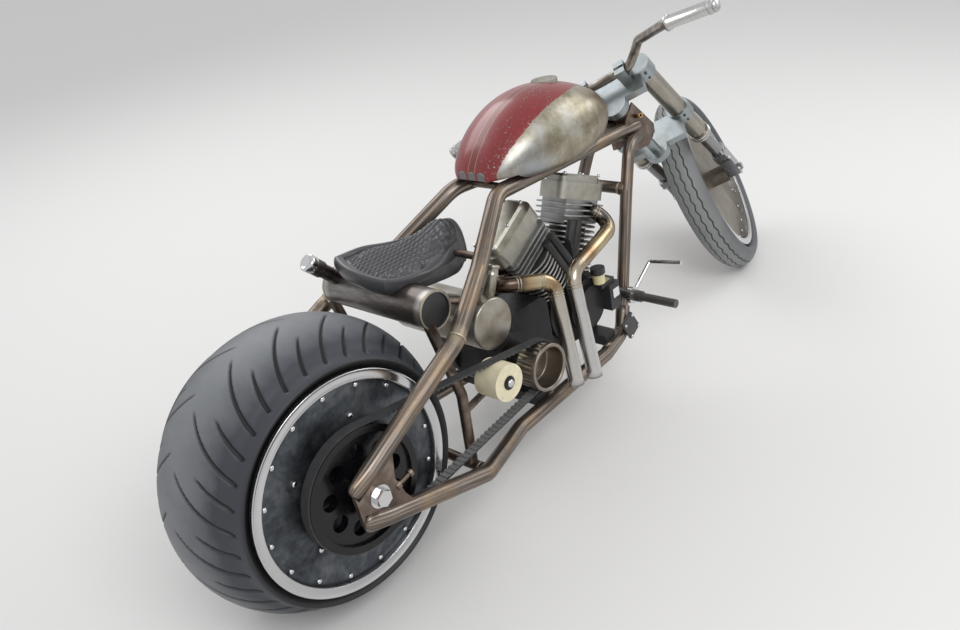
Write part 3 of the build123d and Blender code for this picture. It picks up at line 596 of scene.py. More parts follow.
dressedNodes = {
    "steel": ["upper_tubes", "lower_rails", "downtubes", "head_tube", "axle_plates", "cross_tubes",
              "stand_bracket", "side_stand"],
    "chrome": ["rear_axle", "rear_brake_disc", "brake_pedal", "shift_pedal"],
    "polish": ["rear_rim", "front_rim"], "rearCover": ["rear_covers"], "frontCover": ["front_covers"],
    "rearRubber": ["rear_tyre"], "frontRubber": ["front_tyre"], "black": ["rear_pulley"],
    "belt": ["drive_belt"], "drum": ["drive_drum"], "cream": ["belt_roller"],
    "case": ["crankcase", "timing_cover", "primary_cover"],
    "frontCylinder": ["cylinder_front"], "rearCylinder": ["cylinder_rear"],
    "head": ["head_front", "head_rear"], "rocker": ["rocker_cover_front", "rocker_cover_rear"],
    "rearPipe": ["exhaust_rear"], "frontPipe": ["exhaust_front"], "reservoir": ["brake_reservoir"],
    "peg": ["foot_peg_right", "foot_peg_left"], "tank": ["fuel_tank"], "tankSteel": ["oil_tank", "round_tank"],
    "leather": ["seat"], "forkTube": ["fork_tubes"], "slider": ["fork_sliders"],
    "clamp": ["clamp_lower", "clamp_upper"], "bar": ["handlebar"],
}
for finish, names in dressedNodes.items():
    for name in names:
        nodes[name].data.materials.clear()
        nodes[name].data.materials.append(finishes[finish])
print("finishes set")


# Shapes worked out as whole arrays. A part is its points, its groups of faces and their UVs.

def surface(grid, along=None, wrapRows=False, poles=(None, None)):
    # quads between the rows of a grid closed round its columns, with fans of triangles to the poles
    grid = np.asarray(grid, float)
    rows, columns = grid.shape[:2]
    row, column = np.meshgrid(np.arange(rows if wrapRows else rows - 1), np.arange(columns), indexing="ij")
    row, column = row.ravel(), column.ravel()
    corners = [(row, column), (row, column + 1), (row + 1, column + 1), (row + 1, column)]
    along = np.linspace(0, 1, rows + 1) if along is None else np.append(along, along[-1])
    points = grid.reshape(-1, 3)
    faces = [np.stack([(i % rows) * columns + j % columns for i, j in corners], 1)]
    uvs = [np.stack([np.stack([along[i], j / columns], -1) for i, j in corners], 1)]
    turn = np.arange(columns)
    for row, pole, flip in ((0, poles[0], False), (rows - 1, poles[1], True)):
        if pole is None:
            continue
        edge = [row * columns + (turn + 1) % columns, row * columns + turn]
        fan = np.stack((edge[::-1] if flip else edge) + [np.full(columns, len(points))], 1)
        points = np.vstack([points, pole])
        faces.append(fan)
        uvs.append(np.broadcast_to([along[row], 0.5], (columns, 3, 2)))
    return points, faces, uvs


def outward(part):
    # the volume inside the faces is positive when they point outwards; otherwise they are turned round
    points, faces, uvs = part
    middle = points.mean(0)
    volume = 0.0
    for group in faces:
        corners = points[group] - middle
        for index in range(1, group.shape[1] - 1):
            volume += (corners[:, 0] * np.cross(corners[:, index], corners[:, index + 1])).sum()
    if volume < 0:
        return points, [group[:, ::-1] for group in faces], [group[:, ::-1] for group in uvs]
    return part


def addObject(name, data):
    item = bpy.data.objects.new(name, data)
    bpy.context.scene.collection.objects.link(item)
    return item


def addMesh(name, parts, finish, body, replaced=(), place=bike, smooth=True):
    # one object from several parts on a CAD body; a local frame places them unless they are placed already
    points, faces, uvs, start = [], [], [], 0
    for partPoints, partFaces, partUvs in parts:
        if place:
            partPoints = place.place(partPoints)
        partPoints, partFaces, partUvs = outward((partPoints, partFaces, partUvs))
        points.append(partPoints)
        faces += [group + start for group in partFaces]
        uvs += partUvs
        start += len(partPoints)
    loops = np.concatenate([group.ravel() for group in faces]).astype(np.int32)
    totals = np.concatenate([np.full(len(group), group.shape[1]) for group in faces]).astype(np.int32)
    data = bpy.data.meshes.new(name)
    data.vertices.add(start)
    data.vertices.foreach_set("co", np.concatenate(points).astype(np.float32).ravel())
    data.loops.add(len(loops))
    data.loops.foreach_set("vertex_index", loops)
    data.polygons.add(len(totals))
    data.polygons.foreach_set("loop_start", np.concatenate([[0], np.cumsum(totals)[:-1]]).astype(np.int32))
    data.polygons.foreach_set("loop_total", totals)
    data.update(calc_edges=True)
    layer = data.uv_layers.new(name="UVMap")
    corners = np.concatenate([group.reshape(-1, 2) for group in uvs])
    layer.data.foreach_set("uv", corners.astype(np.float32).ravel())
    data.polygons.foreach_set("use_smooth", np.full(len(totals), smooth))
    data.materials.append(finishes[finish])
    piece = addObject(name, data)
    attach(piece, body)
    if replaced:
        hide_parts(*replaced)
    return piece


def smoothStep(value, low, high):
    share = np.clip((value - low) / (high - low), 0, 1)
    return share * share * (3 - 2 * share)


def around(count):
    # angles spaced evenly over a full turn
    return np.arange(count) * 2 * np.pi / count


def tilted(first, second, degrees):
    # two coordinates turned about the third
    c, s = math.cos(math.radians(degrees)), math.sin(math.radians(degrees))
    return first * c - second * s, first * s + second * c


def curveThrough(stops, values, at):
    # a smooth line through the values: cubic spans whose slopes come from the neighbours
    stops, values, at = (np.asarray(item, float) for item in (stops, values, at))
    slopes = np.gradient(values, stops, axis=0)
    span = np.clip(np.searchsorted(stops, at, side="right") - 1, 0, len(stops) - 2)
    width = stops[span + 1] - stops[span]
    t = (at - stops[span]) / width
    if values.ndim > 1:
        t, width = t[..., None], width[..., None]
    first = (2 * t**3 - 3 * t**2 + 1) * values[span] + (t**3 - 2 * t**2 + t) * width * slopes[span]
    return first + (3 * t**2 - 2 * t**3) * values[span + 1] + (t**3 - t**2) * width * slopes[span + 1]


def pathLength(path):
    return np.concatenate([[0], np.cumsum(np.linalg.norm(np.diff(path, axis=0), axis=1))])


def cornersOf(points):
    # each corner of a line with the ways in and out and half the angle between them
    corners = np.asarray(points, float)
    for before, corner, after in zip(corners, corners[1:], corners[2:]):
        wayIn, wayOut = unit(corner - before), unit(after - corner)
        yield corner, wayIn, wayOut, math.acos(np.clip(wayIn @ wayOut, -1, 1)) / 2


def roundedPath(points, bend, step=0.004):
    # straight runs joined by arcs of one radius
    line = [[points[0]]]
    for corner, wayIn, wayOut, half in cornersOf(points):
        inward = unit(wayOut - wayIn)
        centre = corner + inward * bend / math.cos(half)
        angles = np.linspace(-half, half, max(3, int(2 * half * bend / step)))[:, None]
        line.append(centre + bend * (np.sin(angles) * unit(wayIn + wayOut) - np.cos(angles) * inward))
    line = np.vstack(line + [[points[-1]]])
    length = pathLength(line)
    at = np.unique(np.concatenate([length, np.arange(0, length[-1], 0.03)]))
    return np.stack([np.interp(at, length, line[:, axis]) for axis in range(3)], 1)


def tube(path, radius, helper=(0, 1, 0), bore=0.0, sides=28, depth=1.0):
    # a circle carried along a path, kept level with a helper direction that the path never follows;
    # u is the length along it in metres, and depth flattens it
    path = np.asarray(path, float)
    helper = unit(helper)
    tangent = np.gradient(path, axis=0)
    tangent /= np.linalg.norm(tangent, axis=1)[:, None]
    side = np.cross(tangent, helper)
    side /= np.linalg.norm(side, axis=1)[:, None]
    length = pathLength(path)
    turn = around(sides)[None, :, None]
    ring = np.cos(turn) * side[:, None] + np.sin(turn) * np.cross(tangent, side)[:, None]
    radius = np.broadcast_to(radius, len(path))[:, None, None]
    squeezed = np.broadcast_to(depth, len(path))[:, None, None]
    ring = ring - (1 - squeezed) * (ring @ helper)[..., None] * helper
    outer = path[:, None] + ring * radius
    if bore:
        inner = (path[:, None] + ring * bore)[::-1]
        return surface(np.concatenate([outer, inner]), np.concatenate([length, length[::-1]]), wrapRows=True)
    edge = 0.0012
    ends = [path[index] + ring[index] * (radius[index] - share * edge) for index in (0, -1) for share in (3, 1)]
    grid = np.concatenate([[ends[0], ends[1]], outer[:1] + tangent[0] * edge, outer[1:-1],
                           outer[-1:] - tangent[-1] * edge, [ends[3], ends[2]]])
    length = np.concatenate([[0, 0], length, [length[-1]] * 2])
    return surface(grid, length, poles=(path[0], path[-1]))


def spokes(turn, axis):
    # directions across an axis at the given angles
    side = unit(np.cross(axis, np.eye(3)[np.argmin(np.abs(axis))]))
    return np.cos(turn) * side + np.sin(turn) * np.cross(axis, side)


def turned(section, origin, axis, columns=96, wave=None, ring=False):
    # a section of (radius, height) rows turned about an axis; wave adds to the radius by row and angle,
    # and a ring closes its section on itself instead of ending on the axis
    section = np.asarray(section, float)
    origin, axis = np.asarray(origin), unit(axis)
    turn = around(columns)
    radius = section[:, :1] + (0 if wave is None else wave(section, turn))
    radius = np.broadcast_to(radius, (len(section), columns))
    grid = origin + radius[..., None] * spokes(turn[:, None], axis)[None] + section[:, 1][:, None, None] * axis
    if ring:
        return surface(grid, wrapRows=True)
    ends = [origin + axis * height for height in (section[0, 1], section[-1, 1])]
    return surface(grid, pathLength(section), poles=ends)


def bead(centre, axis, radius, size, ripples=46):
    # a weld: a small circle carried round a ring, swelling and thinning as the weld pool does
    axis = unit(axis)
    turn = around(ripples * 4)[:, None, None]
    cross = around(8)[None, :, None]
    swollen = size * (1 + 0.3 * np.abs(np.sin(turn * ripples / 2)))
    out = radius + swollen * 0.55 * np.cos(cross)
    grid = np.asarray(centre) + out * spokes(turn, axis) + swollen * np.sin(cross) * 1.3 * axis
    return surface(grid, wrapRows=True)


def studs(centres, axis, radius, height):
    # button heads: a rounded profile turned about each centre
    rim = np.array([(0.9, -0.4), (1.0, 0.1), (0.98, 0.5), (0.84, 0.82), (0.5, 0.97)])
    return [turned(rim * [radius, height], centre, axis, 12) for centre in np.asarray(centres)]


def circle(radius, count, height, first=0.0):
    # points spaced round the left axis of a local frame
    turn = np.radians(first) + around(count)
    return np.stack([radius * np.cos(turn), np.full(count, height), radius * np.sin(turn)], 1)


def slab(outline, low, high, edge=0.001):
    # a flat plate along the bike: an outline in X and Z, from one side to the other, with eased edges
    outline = np.asarray(outline, float)
    middle = outline.mean(0)
    size = np.linalg.norm(outline - middle, axis=1).mean()
    rows = []
    for side, inset in ((low, 3), (low, 1), (low + edge, 0), (high - edge, 0), (high, 1), (high, 3)):
        flat = middle + (outline - middle) * (1 - inset * edge / size)
        rows.append(np.stack([flat[:, 0], np.full(len(flat), side), flat[:, 1]], 1))
    ends = [np.array([middle[0], side, middle[1]]) for side in (low, high)]
    return surface(np.array(rows), poles=ends)


def roundedOutline(centre, width, height, corner, lean=0.0):
    # a rectangle with round corners as a ring of points, leaned by an angle in degrees
    turn = around(48) + 0.01
    spoke = np.stack([np.cos(turn), np.sin(turn)], 1)
    ring = np.sign(spoke) * (np.array([width, height]) / 2 - corner) + corner * spoke
    return np.asarray(centre) + np.stack(tilted(ring[:, 0], ring[:, 1], lean), 1)


# Tyres

rearTyreSizes = {
    "radius": 0.327, "width": 0.330, "crown": 0.195, "rim": 0.248, "lipSide": 0.1488, "seat": 0.229,
    "grooves": 34, "grooveStart": 0.145, "longGroove": 0.150, "shortGroove": 0.092, "grooveHalf": 0.0034,
    "grooveDepth": 0.0065, "slant": 0.075, "curve": 0.0004, "columns": 880, "shoulder": 0.79, "belly": 0.98,
}
frontTyreSizes = {
    "radius": 0.316, "width": 0.106, "crown": 0.054, "rim": 0.257, "lipSide": 0.028, "seat": 0.240,
    "waves": 52, "grooveHalf": 0.0017, "grooveDepth": 0.0026, "columns": 1000, "shoulder": 0.79, "belly": 0.98,
    "grooves": ((-0.024, 0.0022), (0.0, 0.0030), (0.024, 0.0022)),  # place across the tread and swing
}
seatRows = 4


def tyreSection(sizes, treadCount, wallCount):
    # rows of (radius, side): an arc over the tread, a smooth wall to the rim, then straight across the seat
    half = sizes["width"] / 2
    side = np.linspace(0, sizes["shoulder"] * half, treadCount)
    tread = np.stack([sizes["radius"] - sizes["crown"] + np.sqrt(sizes["crown"] ** 2 - side**2), side], 1)
    belly = (0.55 * sizes["rim"] + 0.45 * tread[-1, 0], sizes["belly"] * half)
    stops = np.array([tread[-4], tread[-1], belly, (sizes["rim"], sizes["lipSide"])])
    reach = pathLength(stops)
    wall = curveThrough(reach, stops, np.linspace(reach[1], reach[-1], wallCount))[1:]
    right = np.vstack([tread, wall])
    across = np.linspace(1, -1, seatRows) * (sizes["lipSide"] - 0.003)
    seat = np.stack([np.full(seatRows, sizes["seat"]), across], 1)
    return np.vstack([(right * [1, -1])[::-1], right[1:], seat])


def rearTread(sizes, section, turns):
    # each side has curved grooves: the angle falls inwards by a square law, long and short in turn
    run = pathLength(section)
    middle, start = np.interp([0, sizes["grooveStart"]], section[:-seatRows, 1], run[:-seatRows])
    inward = (start - middle - np.abs(run - middle)) * 1000
    pitch = 360 / sizes["grooves"]
    slant = section[:, 0] * np.radians(sizes["slant"] + 2 * sizes["curve"] * np.clip(inward, 0, None)) * 1000
    sunk = 0.0
    for side in (-1, 1):
        spot = np.degrees(turns) + sizes["slant"] * inward + sizes["curve"] * inward**2
        spot = spot + (pitch / 2 if side > 0 else 0)
        number = np.floor(spot / pitch + 0.5)
        away = np.abs(spot - number * pitch) * np.radians(1) * section[:, 0] / np.sqrt(1 + slant**2)
        length = np.where(number % 2 == 0, sizes["longGroove"], sizes["shortGroove"]) * 1000
        ends = smoothStep(inward, 0, 5) * (1 - smoothStep(inward, length - 16, length))
        half = sizes["grooveHalf"] * (1 - 0.45 * smoothStep(inward, 0.4 * length, length))
        depth = sizes["grooveDepth"] * ends * (1 - smoothStep(away, 0.55 * half, 1.35 * half))
        sunk = sunk + depth * (section[:, 1] * side > 0)
    return sunk


def frontTread(sizes, section, turns):
    # three grooves that wander from side to side in a triangle wave
    wave = np.abs((turns * sizes["waves"] / (2 * np.pi)) % 1 - 0.5) * 4 - 1
    half = sizes["grooveHalf"]
    sunk = 0.0
    for middle, swing in sizes["grooves"]:
        away = np.abs(section[:, 1] - middle - swing * wave)
        sunk = sunk + sizes["grooveDepth"] * (1 - smoothStep(away, 0.5 * half, 1.5 * half))
    return np.minimum(sunk, sizes["grooveDepth"]) * (section[:, 0] > sizes["rim"] + 0.02)


def tyre(sizes, section, tread):
    # the section turned round the axle, each point let in by its depth, which is also the u of its UV, read by
    # the rubber finish to paint shade in the grooves
    turns = around(sizes["columns"])[:, None]
    sunk = tread(sizes, section, turns)
    slope = np.gradient(section, axis=0)
    normal = np.stack([slope[:, 1], -slope[:, 0]], 1)
    normal /= np.linalg.norm(normal, axis=1)[:, None]
    radius = section[:, 0] - normal[:, 0] * sunk
    side = section[:, 1] - normal[:, 1] * sunk
    grid = np.stack([radius * np.cos(turns), side, radius * np.sin(turns)], -1)
    points, faces, uvs = surface(grid, wrapRows=True)
    depth = np.broadcast_to(sunk / np.max(sunk), radius.shape).ravel()
    return points, faces, [np.stack([depth[group], 0 * depth[group]], -1) for group in faces]


rearTyre = tyre(rearTyreSizes, tyreSection(rearTyreSizes, 38, 13), rearTread)
addMesh("rearTyre", [rearTyre], "rearRubber", "rear_wheel", ["rear_tyre"], rearWheel)
frontTyre = tyre(frontTyreSizes, tyreSection(frontTyreSizes, 34, 10), frontTread)
addMesh("frontTyre", [frontTyre], "frontRubber", "front_wheel", ["front_tyre"], frontWheel)
print("tyres made")

# Bolts on the wheel covers: face, circles of (radius, count, first angle), head and height

boltSizes = {
    "rear": (0.1498, ((0.211, 16, 3), (0.148, 5, 3)), 0.0062, 0.0062),
    "front": (0.020, ((0.220, 20, 0),), 0.0046, 0.0042),
}
wheels = {"rear": rearWheel, "front": frontWheel}
for name, (face, circles, head, height) in boltSizes.items():
    wheel, bolts = wheels[name], []
    for side in (-1, 1):
        for radius, count, first in circles:
            spots = wheel.place(circle(radius, count, side * face, first))
            bolts += studs(spots, wheel.left * side, head, height)
    addMesh(name + "CoverBolts", bolts, "chrome", name + "_wheel", place=None)

# Rolled edges of the rims: a section of (radius, height), then how far out and how much wider it is turned

lipSection = np.array([
    (0.2225, -0.0006), (0.2226, 0.0008), (0.2234, 0.0017), (0.2248, 0.0017), (0.2270, 0.0010), (0.2320, 0.0004),
    (0.2380, 0.0005), (0.2412, 0.0013), (0.2432, 0.0024), (0.2444, 0.0022), (0.2450, 0.0010), (0.2450, -0.0006),
])
lipSizes = {"rear": (0.1608, 0.0), "front": (0.040, 0.009)}
for name, (reach, wider) in lipSizes.items():
    wheel, lips = wheels[name], []
    for side in (-1, 1):
        middle = wheel.place((0, side * reach, 0))
        lips.append(turned(lipSection + [wider, 0], middle, wheel.left * side, 160, ring=True))
    addMesh(name + "RimLips", lips, "polish", name + "_wheel", place=None)


# Frame tubes, with the streaks of the drawn steel along them

def onSteeringAxis(height, side):
    foot, rake = bikeSizes["headFoot"], math.radians(bikeSizes["rake"])
    return (foot[0] - height * math.sin(rake), side, foot[2] + height * math.cos(rake))


upperLine = [(-0.057, 0.250, 0.362), (0.300, 0.229, 0.519), (0.480, 0.147, 0.594), (0.652, 0.073, 0.704),
             onSteeringAxis(0.604, 0.016)]
railLine = [(-0.050, 0.254, 0.288), (0.309, 0.229, 0.166), (0.500, 0.160, 0.150), (0.900, 0.130, 0.140),
            (1.004, 0.112, 0.152), (1.042, 0.096, 0.216)]
downLine = [(1.030, 0.098, 0.190), (1.142, 0.080, 0.525), (1.196, 0.066, 0.640), onSteeringAxis(0.556, 0.010)]


def sidePair(line, radius, bend, pinch=0.0):
    # the same tube on the right and on the left; a pinched one is pressed flat and closes to a round end
    parts = []
    for side in (-1, 1):
        path = roundedPath([(x, side * y, z) for x, y, z in line], bend)
        width, depth = radius, 1.0
        if pinch:
            start = path[0] + (path[1] - path[0]) * np.linspace(0, 1, 8)[:-1, None] ** 2
            path = np.vstack([start, path[1:]])
            length = pathLength(path)
            share = np.clip(length / (radius * 0.8), 0, 1)
            width = radius * (0.35 + 0.65 * np.sqrt(share * (2 - share)))
            depth = 0.62 + 0.38 * smoothStep(length, 0, pinch)
        parts.append(tube(path, width, depth=depth))
    return parts


upperTubes = sidePair(upperLine, frameSizes["tube"], frameSizes["bend"], frameSizes["upperPinch"])
addMesh("upperTubes", upperTubes, "tube", "frame", ["upper_tubes"])
lowerRails = sidePair(railLine, frameSizes["tube"], frameSizes["railBend"], frameSizes["railPinch"])
addMesh("lowerRails", lowerRails, "tubeBronze", "frame", ["lower_rails"])
crossX, crossHalf, crossZ = frameSizes["cross"]
crosspiece = tube([(crossX, side * crossHalf, crossZ) for side in (-1, 0, 1)], frameSizes["down"], (0, 0, 1))
downTubes = sidePair(downLine, frameSizes["down"], frameSizes["downBend"]) + [crosspiece]
addMesh("downTubes", downTubes, "tube", "frame", ["downtubes"])
print("frame tubes made")

# Exhaust pipes, with rings where the bends are welded to the straight runs

pipeLines = {
    "rear": [(0.706, -0.010, 0.454), (0.606, -0.016, 0.472), (0.600, -0.094, 0.486), (0.722, -0.142, 0.454),
             (0.682, -0.204, 0.184)],
    "front": [(1.010, -0.044, 0.520), (1.052, -0.096, 0.470), (0.940, -0.124, 0.462), (0.790, -0.146, 0.444),
              (0.756, -0.204, 0.168)],
}
for name, line in pipeLines.items():
    bend, radius, gap = pipeSizes["bends"][name], pipeSizes["radius"], pipeSizes["weldGap"]
    pipe = tube(roundedPath(line, bend, 0.003), radius, (1, 0, 1), pipeSizes["bore"], 40)
    rings = []
    for corner, wayIn, wayOut, half in cornersOf(line):
        reach = bend * math.tan(half)
        if half > 0.3:
            for spot, way in ((corner - wayIn * reach, wayIn), (corner + wayOut * reach, wayOut)):
                rings += [bead(spot + way * shift, way, radius, pipeSizes["weld"], 30) for shift in (-gap, gap)]
    addMesh(name + "Pipe", [pipe], name + "Pipe", "frame", ["exhaust_" + name])
    addMesh(name + "PipeWelds", rings, "weld", "frame")
print("exhaust pipes made")

# Belt, drum and roller

beltSizes = {
    "inner": -0.188, "outer": -0.213, "band": 0.0033, "gap": 0.0003, "tooth": 0.003, "pitch": 0.014,
    "rearRadius": 0.138, "driveRadius": 0.059, "rearCentre": (0.0, 0.327), "driveCentre": (0.556, 0.316),
    "rearClear": (0.144, 0.150), "driveClear": (0.064, 0.069), "rollerGap": 0.026, "runRows": 1098,
}


def beltLoop():
    # two arcs and two tangents as rows of a point, its outward direction and 1 where no wheel carries it
    rear, drive = np.array(beltSizes["rearCentre"]), np.array(beltSizes["driveCentre"])
    rearRadius, driveRadius, count = (beltSizes[name] for name in ("rearRadius", "driveRadius", "runRows"))
    along = drive - rear
    heading = math.atan2(along[1], along[0])
    lift = math.acos((rearRadius - driveRadius) / np.linalg.norm(along))
    top, low = heading + lift, heading - lift
    arcs = []
    for centre, radius, turn in ((rear, rearRadius, np.linspace(top, low + 2 * np.pi, 300)),
                                 (drive, driveRadius, np.linspace(low, top, 120))):
        out = np.stack([np.cos(turn), np.sin(turn)], 1)
        arcs.append(np.hstack([centre + radius * out, out, np.zeros((len(turn), 1))]))
    runs = []
    for start, end in ((arcs[0][-1], arcs[1][0]), (arcs[1][-1], arcs[0][0])):
        share = np.linspace(0, 1, count + 2)[1:-1, None]
        line = start[:2] + share * (end[:2] - start[:2])
        runs.append(np.hstack([line, np.broadcast_to(start[2:4], (count, 2)), np.ones((count, 1))]))
    return np.vstack([arcs[0], runs[0], arcs[1], runs[1]])


def beltGrid():
    # the loop as a band with four corners; teeth stand inwards where neither a wheel nor the roller lies
    loop = beltLoop()
    spots, outs, clear = loop[:, :2], loop[:, 2:4], loop[:, 4]
    run = pathLength(spots)
    phase = (run * round(run[-1] / beltSizes["pitch"]) / run[-1]) % 1
    tooth = smoothStep(phase, 0.08, 0.2) * (1 - smoothStep(phase, 0.58, 0.7))
    for wheel in ("rear", "drive"):
        reach = np.hypot(*(spots - beltSizes[wheel + "Centre"]).T)
        clear = clear * smoothStep(reach, *beltSizes[wheel + "Clear"])
    rollerX = rollerSizes["centre"][0]
    onRoller = (outs[:, 1] > 0) & (np.abs(spots[:, 0] - rollerX) < beltSizes["rollerGap"])
    clear = clear * np.where(onRoller, 0, 1)
    back = spots + outs * beltSizes["band"]
    front = spots + outs * (beltSizes["gap"] - beltSizes["tooth"] * tooth * clear)[:, None]
    corners = [(back, "inner"), (back, "outer"), (front, "outer"), (front, "inner")]
    return np.stack([np.stack([line[:, 0], np.full(len(line), beltSizes[side]), line[:, 1]], 1)
                     for line, side in corners], 1)


addMesh("driveBelt", [surface(beltGrid(), wrapRows=True)], "belt", "frame", ["drive_belt"], smooth=False)

drumSizes = {"teeth": 26, "slotDepth": 0.0042, "slotFrom": 0.057, "slotStart": 0.187, "slotEnd": 0.2355}
drumSection = [  # radius and side: the floor, the bore, the flange's face, the slotted outside, the back
    (0.004, 0.190), (0.044, 0.190), (0.0488, 0.1905), (0.050, 0.192), (0.050, 0.238), (0.0505, 0.2415),
    (0.052, 0.243), (0.0572, 0.243), (0.0586, 0.2425), (0.0592, 0.241), (0.0592, 0.2365), (0.0588, 0.2358),
    (0.0585, 0.2353), (0.0585, 0.2346), (0.0585, 0.225), (0.0585, 0.2135), (0.0585, 0.188), (0.0585, 0.187),
    (0.0583, 0.1855), (0.057, 0.185), (0.0408, 0.185), (0.040, 0.184), (0.040, 0.118), (0.004, 0.118),
]


def drumSlots(section, turn):
    # slots along the outside, as deep as the belt's teeth, that stop short of the flange
    wave = smoothStep(np.abs((turn * drumSizes["teeth"] / (2 * np.pi)) % 1 - 0.5), 0.16, 0.24)
    height, start, end = section[:, 1], drumSizes["slotStart"], drumSizes["slotEnd"]
    zone = smoothStep(height, start, start + 0.001) * (1 - smoothStep(height, end - 0.001, end))
    zone = zone * (section[:, 0] > drumSizes["slotFrom"])
    return -drumSizes["slotDepth"] * zone[:, None] * (1 - wave)[None]


driveX, driveZ = beltSizes["driveCentre"]
drum = turned(drumSection, (driveX, 0, driveZ), (0, -1, 0), 312, drumSlots)
addMesh("driveDrum", [drum], "drum", "frame", ["drive_drum"])
print("belt and drum made")

# Round tank with its filler neck, the oil tank's cap, and weld beads

bendTurn = np.linspace(0, np.pi / 2, 7)
edge, roundRadius, roundHalf = tankSizes["edge"], tankSizes["roundRadius"], tankSizes["roundHalf"]
edgeRows = np.stack([roundRadius - edge * (1 - np.sin(bendTurn)), roundHalf - edge * (1 - np.cos(bendTurn))], 1)
faceRows = np.stack([np.linspace(0.004, roundRadius - edge - 0.002, 12),
                     roundHalf + 0.0006 * np.cos(np.linspace(0, np.pi / 2, 12))], 1)
half = np.vstack([faceRows, edgeRows])
roundTank = turned(np.vstack([half, (half * [1, -1])[::-1]]), tankSizes["roundCentre"], (0, 1, 0), 128)
fillerSizes = {
    "neckStart": (0.518, -0.112, 0.484), "neckEnd": (0.560, -0.112, 0.5635),
    "cap": (0.2300, 0.128, 0.6710), "capWay": (-0.022, 0, 0.023), "columns": 48,
}
neckStart, neckEnd = np.array(fillerSizes["neckStart"]), np.array(fillerSizes["neckEnd"])
neckLength = np.linalg.norm(neckEnd - neckStart)
neckSection = [(0.003, -neckLength), (0.0148, -neckLength), (0.0148, -0.028), (0.0162, -0.026),
               (0.0162, -0.022), (0.0148, -0.020), (0.0148, -0.008), (0.0172, -0.006), (0.0172, 0.0),
               (0.0128, 0.0),
               (0.0126, -0.010), (0.003, -0.011)]
neck = turned(neckSection, neckEnd, neckEnd - neckStart, fillerSizes["columns"])
addMesh("roundTank", [roundTank, neck], "brushedSteel", "frame", ["round_tank"])
capSection = [(0.003, -0.018), (0.0182, -0.018), (0.0182, -0.006), (0.0212, -0.004), (0.0216, 0.012),
              (0.0205, 0.0155), (0.016, 0.0175), (0.0155, 0.0168), (0.008, 0.0176), (0.003, 0.0178)]
cap = turned(capSection, fillerSizes["cap"], fillerSizes["capWay"], fillerSizes["columns"])
addMesh("fillerCap", [cap], "chrome", "frame")

oilX, oilZ = tankSizes["oilCentre"]
tankWelds = [bead((oilX, side * (tankSizes["oilHalf"] - 0.002), oilZ), (0, 1, 0), 0.0440, 0.0026, 60)
             for side in (-1, 1)]
frameWelds = []
for side in (-1, 1):
    for spot, axis, radius, size, ripples in (
        ((0.308, side * 0.226, 0.5225), (0.89, -side * 0.25, 0.38), 0.0200, 0.0024, 40),
        ((0.318, side * 0.196, 0.164), (0, 1, 0), 0.0128, 0.0022, 30),
        ((crossX - 0.003, side * 0.062, crossZ), (0, 1, 0), 0.0172, 0.0020, 30),
    ):
        frameWelds.append(bead(spot, axis, radius, size, ripples))
addMesh("weldBeads", tankWelds + frameWelds, "weld", "frame")
print("tanks and welds made")

# Saddle: a rolled border round a woven field, over a deep skirt

saddleSizes = {
    "thick": 0.034, "sunk": 0.006, "roll": 11.0, "pivot": 0.660, "bead": 0.0062, "beadWidth": 0.020,
    "groove": 0.0022, "weave": 0.0098, "weaveDepth": 0.0022, "crown": 0.006, "columns": 600, "rows": 96,
    "coarseRows": 24, "coarseColumns": 90, "pressure": 4.0, "swellFrames": 20, "swellCap": 0.003,
    "tankGap": 0.0008,
}
saddleRows = np.array([  # place along the bike, half width, height, how far the sides drop
    (0.245, 0.048, 0.676, 0.004), (0.263, 0.084, 0.669, -0.004), (0.302, 0.096, 0.655, -0.008),
    (0.356, 0.101, 0.653, 0.0), (0.418, 0.093, 0.653, 0.016), (0.472, 0.082, 0.665, 0.042),
    (0.517, 0.066, 0.684, 0.072), (0.552, 0.052, 0.676, 0.060), (0.572, 0.038, 0.656, 0.040),
])


def saddleOutline(turn):
    # the plan of the saddle as a closed line of X and Y, rounded at both ends
    x = saddleRows[:, 0]
    start, end = x[0] - 0.001, x[-1] + 0.001
    middle, reach = (start + end) / 2, (end - start) / 2
    share = -np.cos(turn)
    along = middle + reach * np.sign(share) * np.abs(share) ** 0.9
    ends = np.clip(1 - ((along - middle) / reach) ** 2, 0, 1)
    body = curveThrough(x[1:-1], saddleRows[1:-1, 1], np.clip(along, x[1], x[-2]))
    rounded = np.minimum(1, np.sqrt(ends) * 2.1)
    return np.stack([along, body * rounded * np.where(np.sin(turn) >= 0, 1, -1)], -1)


def saddleTop(flat):
    # the height of the spine less the drop times the square of the share of the half width
    half, top, drop = (
        curveThrough(saddleRows[:, 0], saddleRows[:, column], flat[..., 0]) for column in (1, 2, 3)
    )
    return top - drop * (flat[..., 1] / np.maximum(half, 0.02)) ** 2 - saddleSizes["sunk"]


def saddleRelief(flat, inset):
    # a half-round bead, a groove inside it, then a crowned field with two crossed waves as its weave
    width, cell = saddleSizes["beadWidth"], saddleSizes["weave"]
    round = np.sqrt(np.clip(1 - (inset / (width / 2) - 1) ** 2, 0, 1))
    lift = np.where(inset < width, saddleSizes["bead"] * round, 0)
    field = smoothStep(inset, width, width + 0.006)
    lift = lift - saddleSizes["groove"] * smoothStep(inset, width - 0.002, width) * (1 - field)
    lift = lift + saddleSizes["crown"] * smoothStep(inset, width, 0.06)
    first = (flat[..., 0] * 0.6 + flat[..., 1] * 0.8) / cell
    second = (flat[..., 0] * 0.6 - flat[..., 1] * 0.8) / cell
    over = np.sin(np.pi * first) * np.sin(np.pi * second)
    weave = np.abs(over) ** 0.6 * np.sign(over) * (0.75 + 0.25 * np.cos(2 * np.pi * (first - second)))
    return lift + saddleSizes["weaveDepth"] * weave * smoothStep(inset, width + 0.003, width + 0.009)


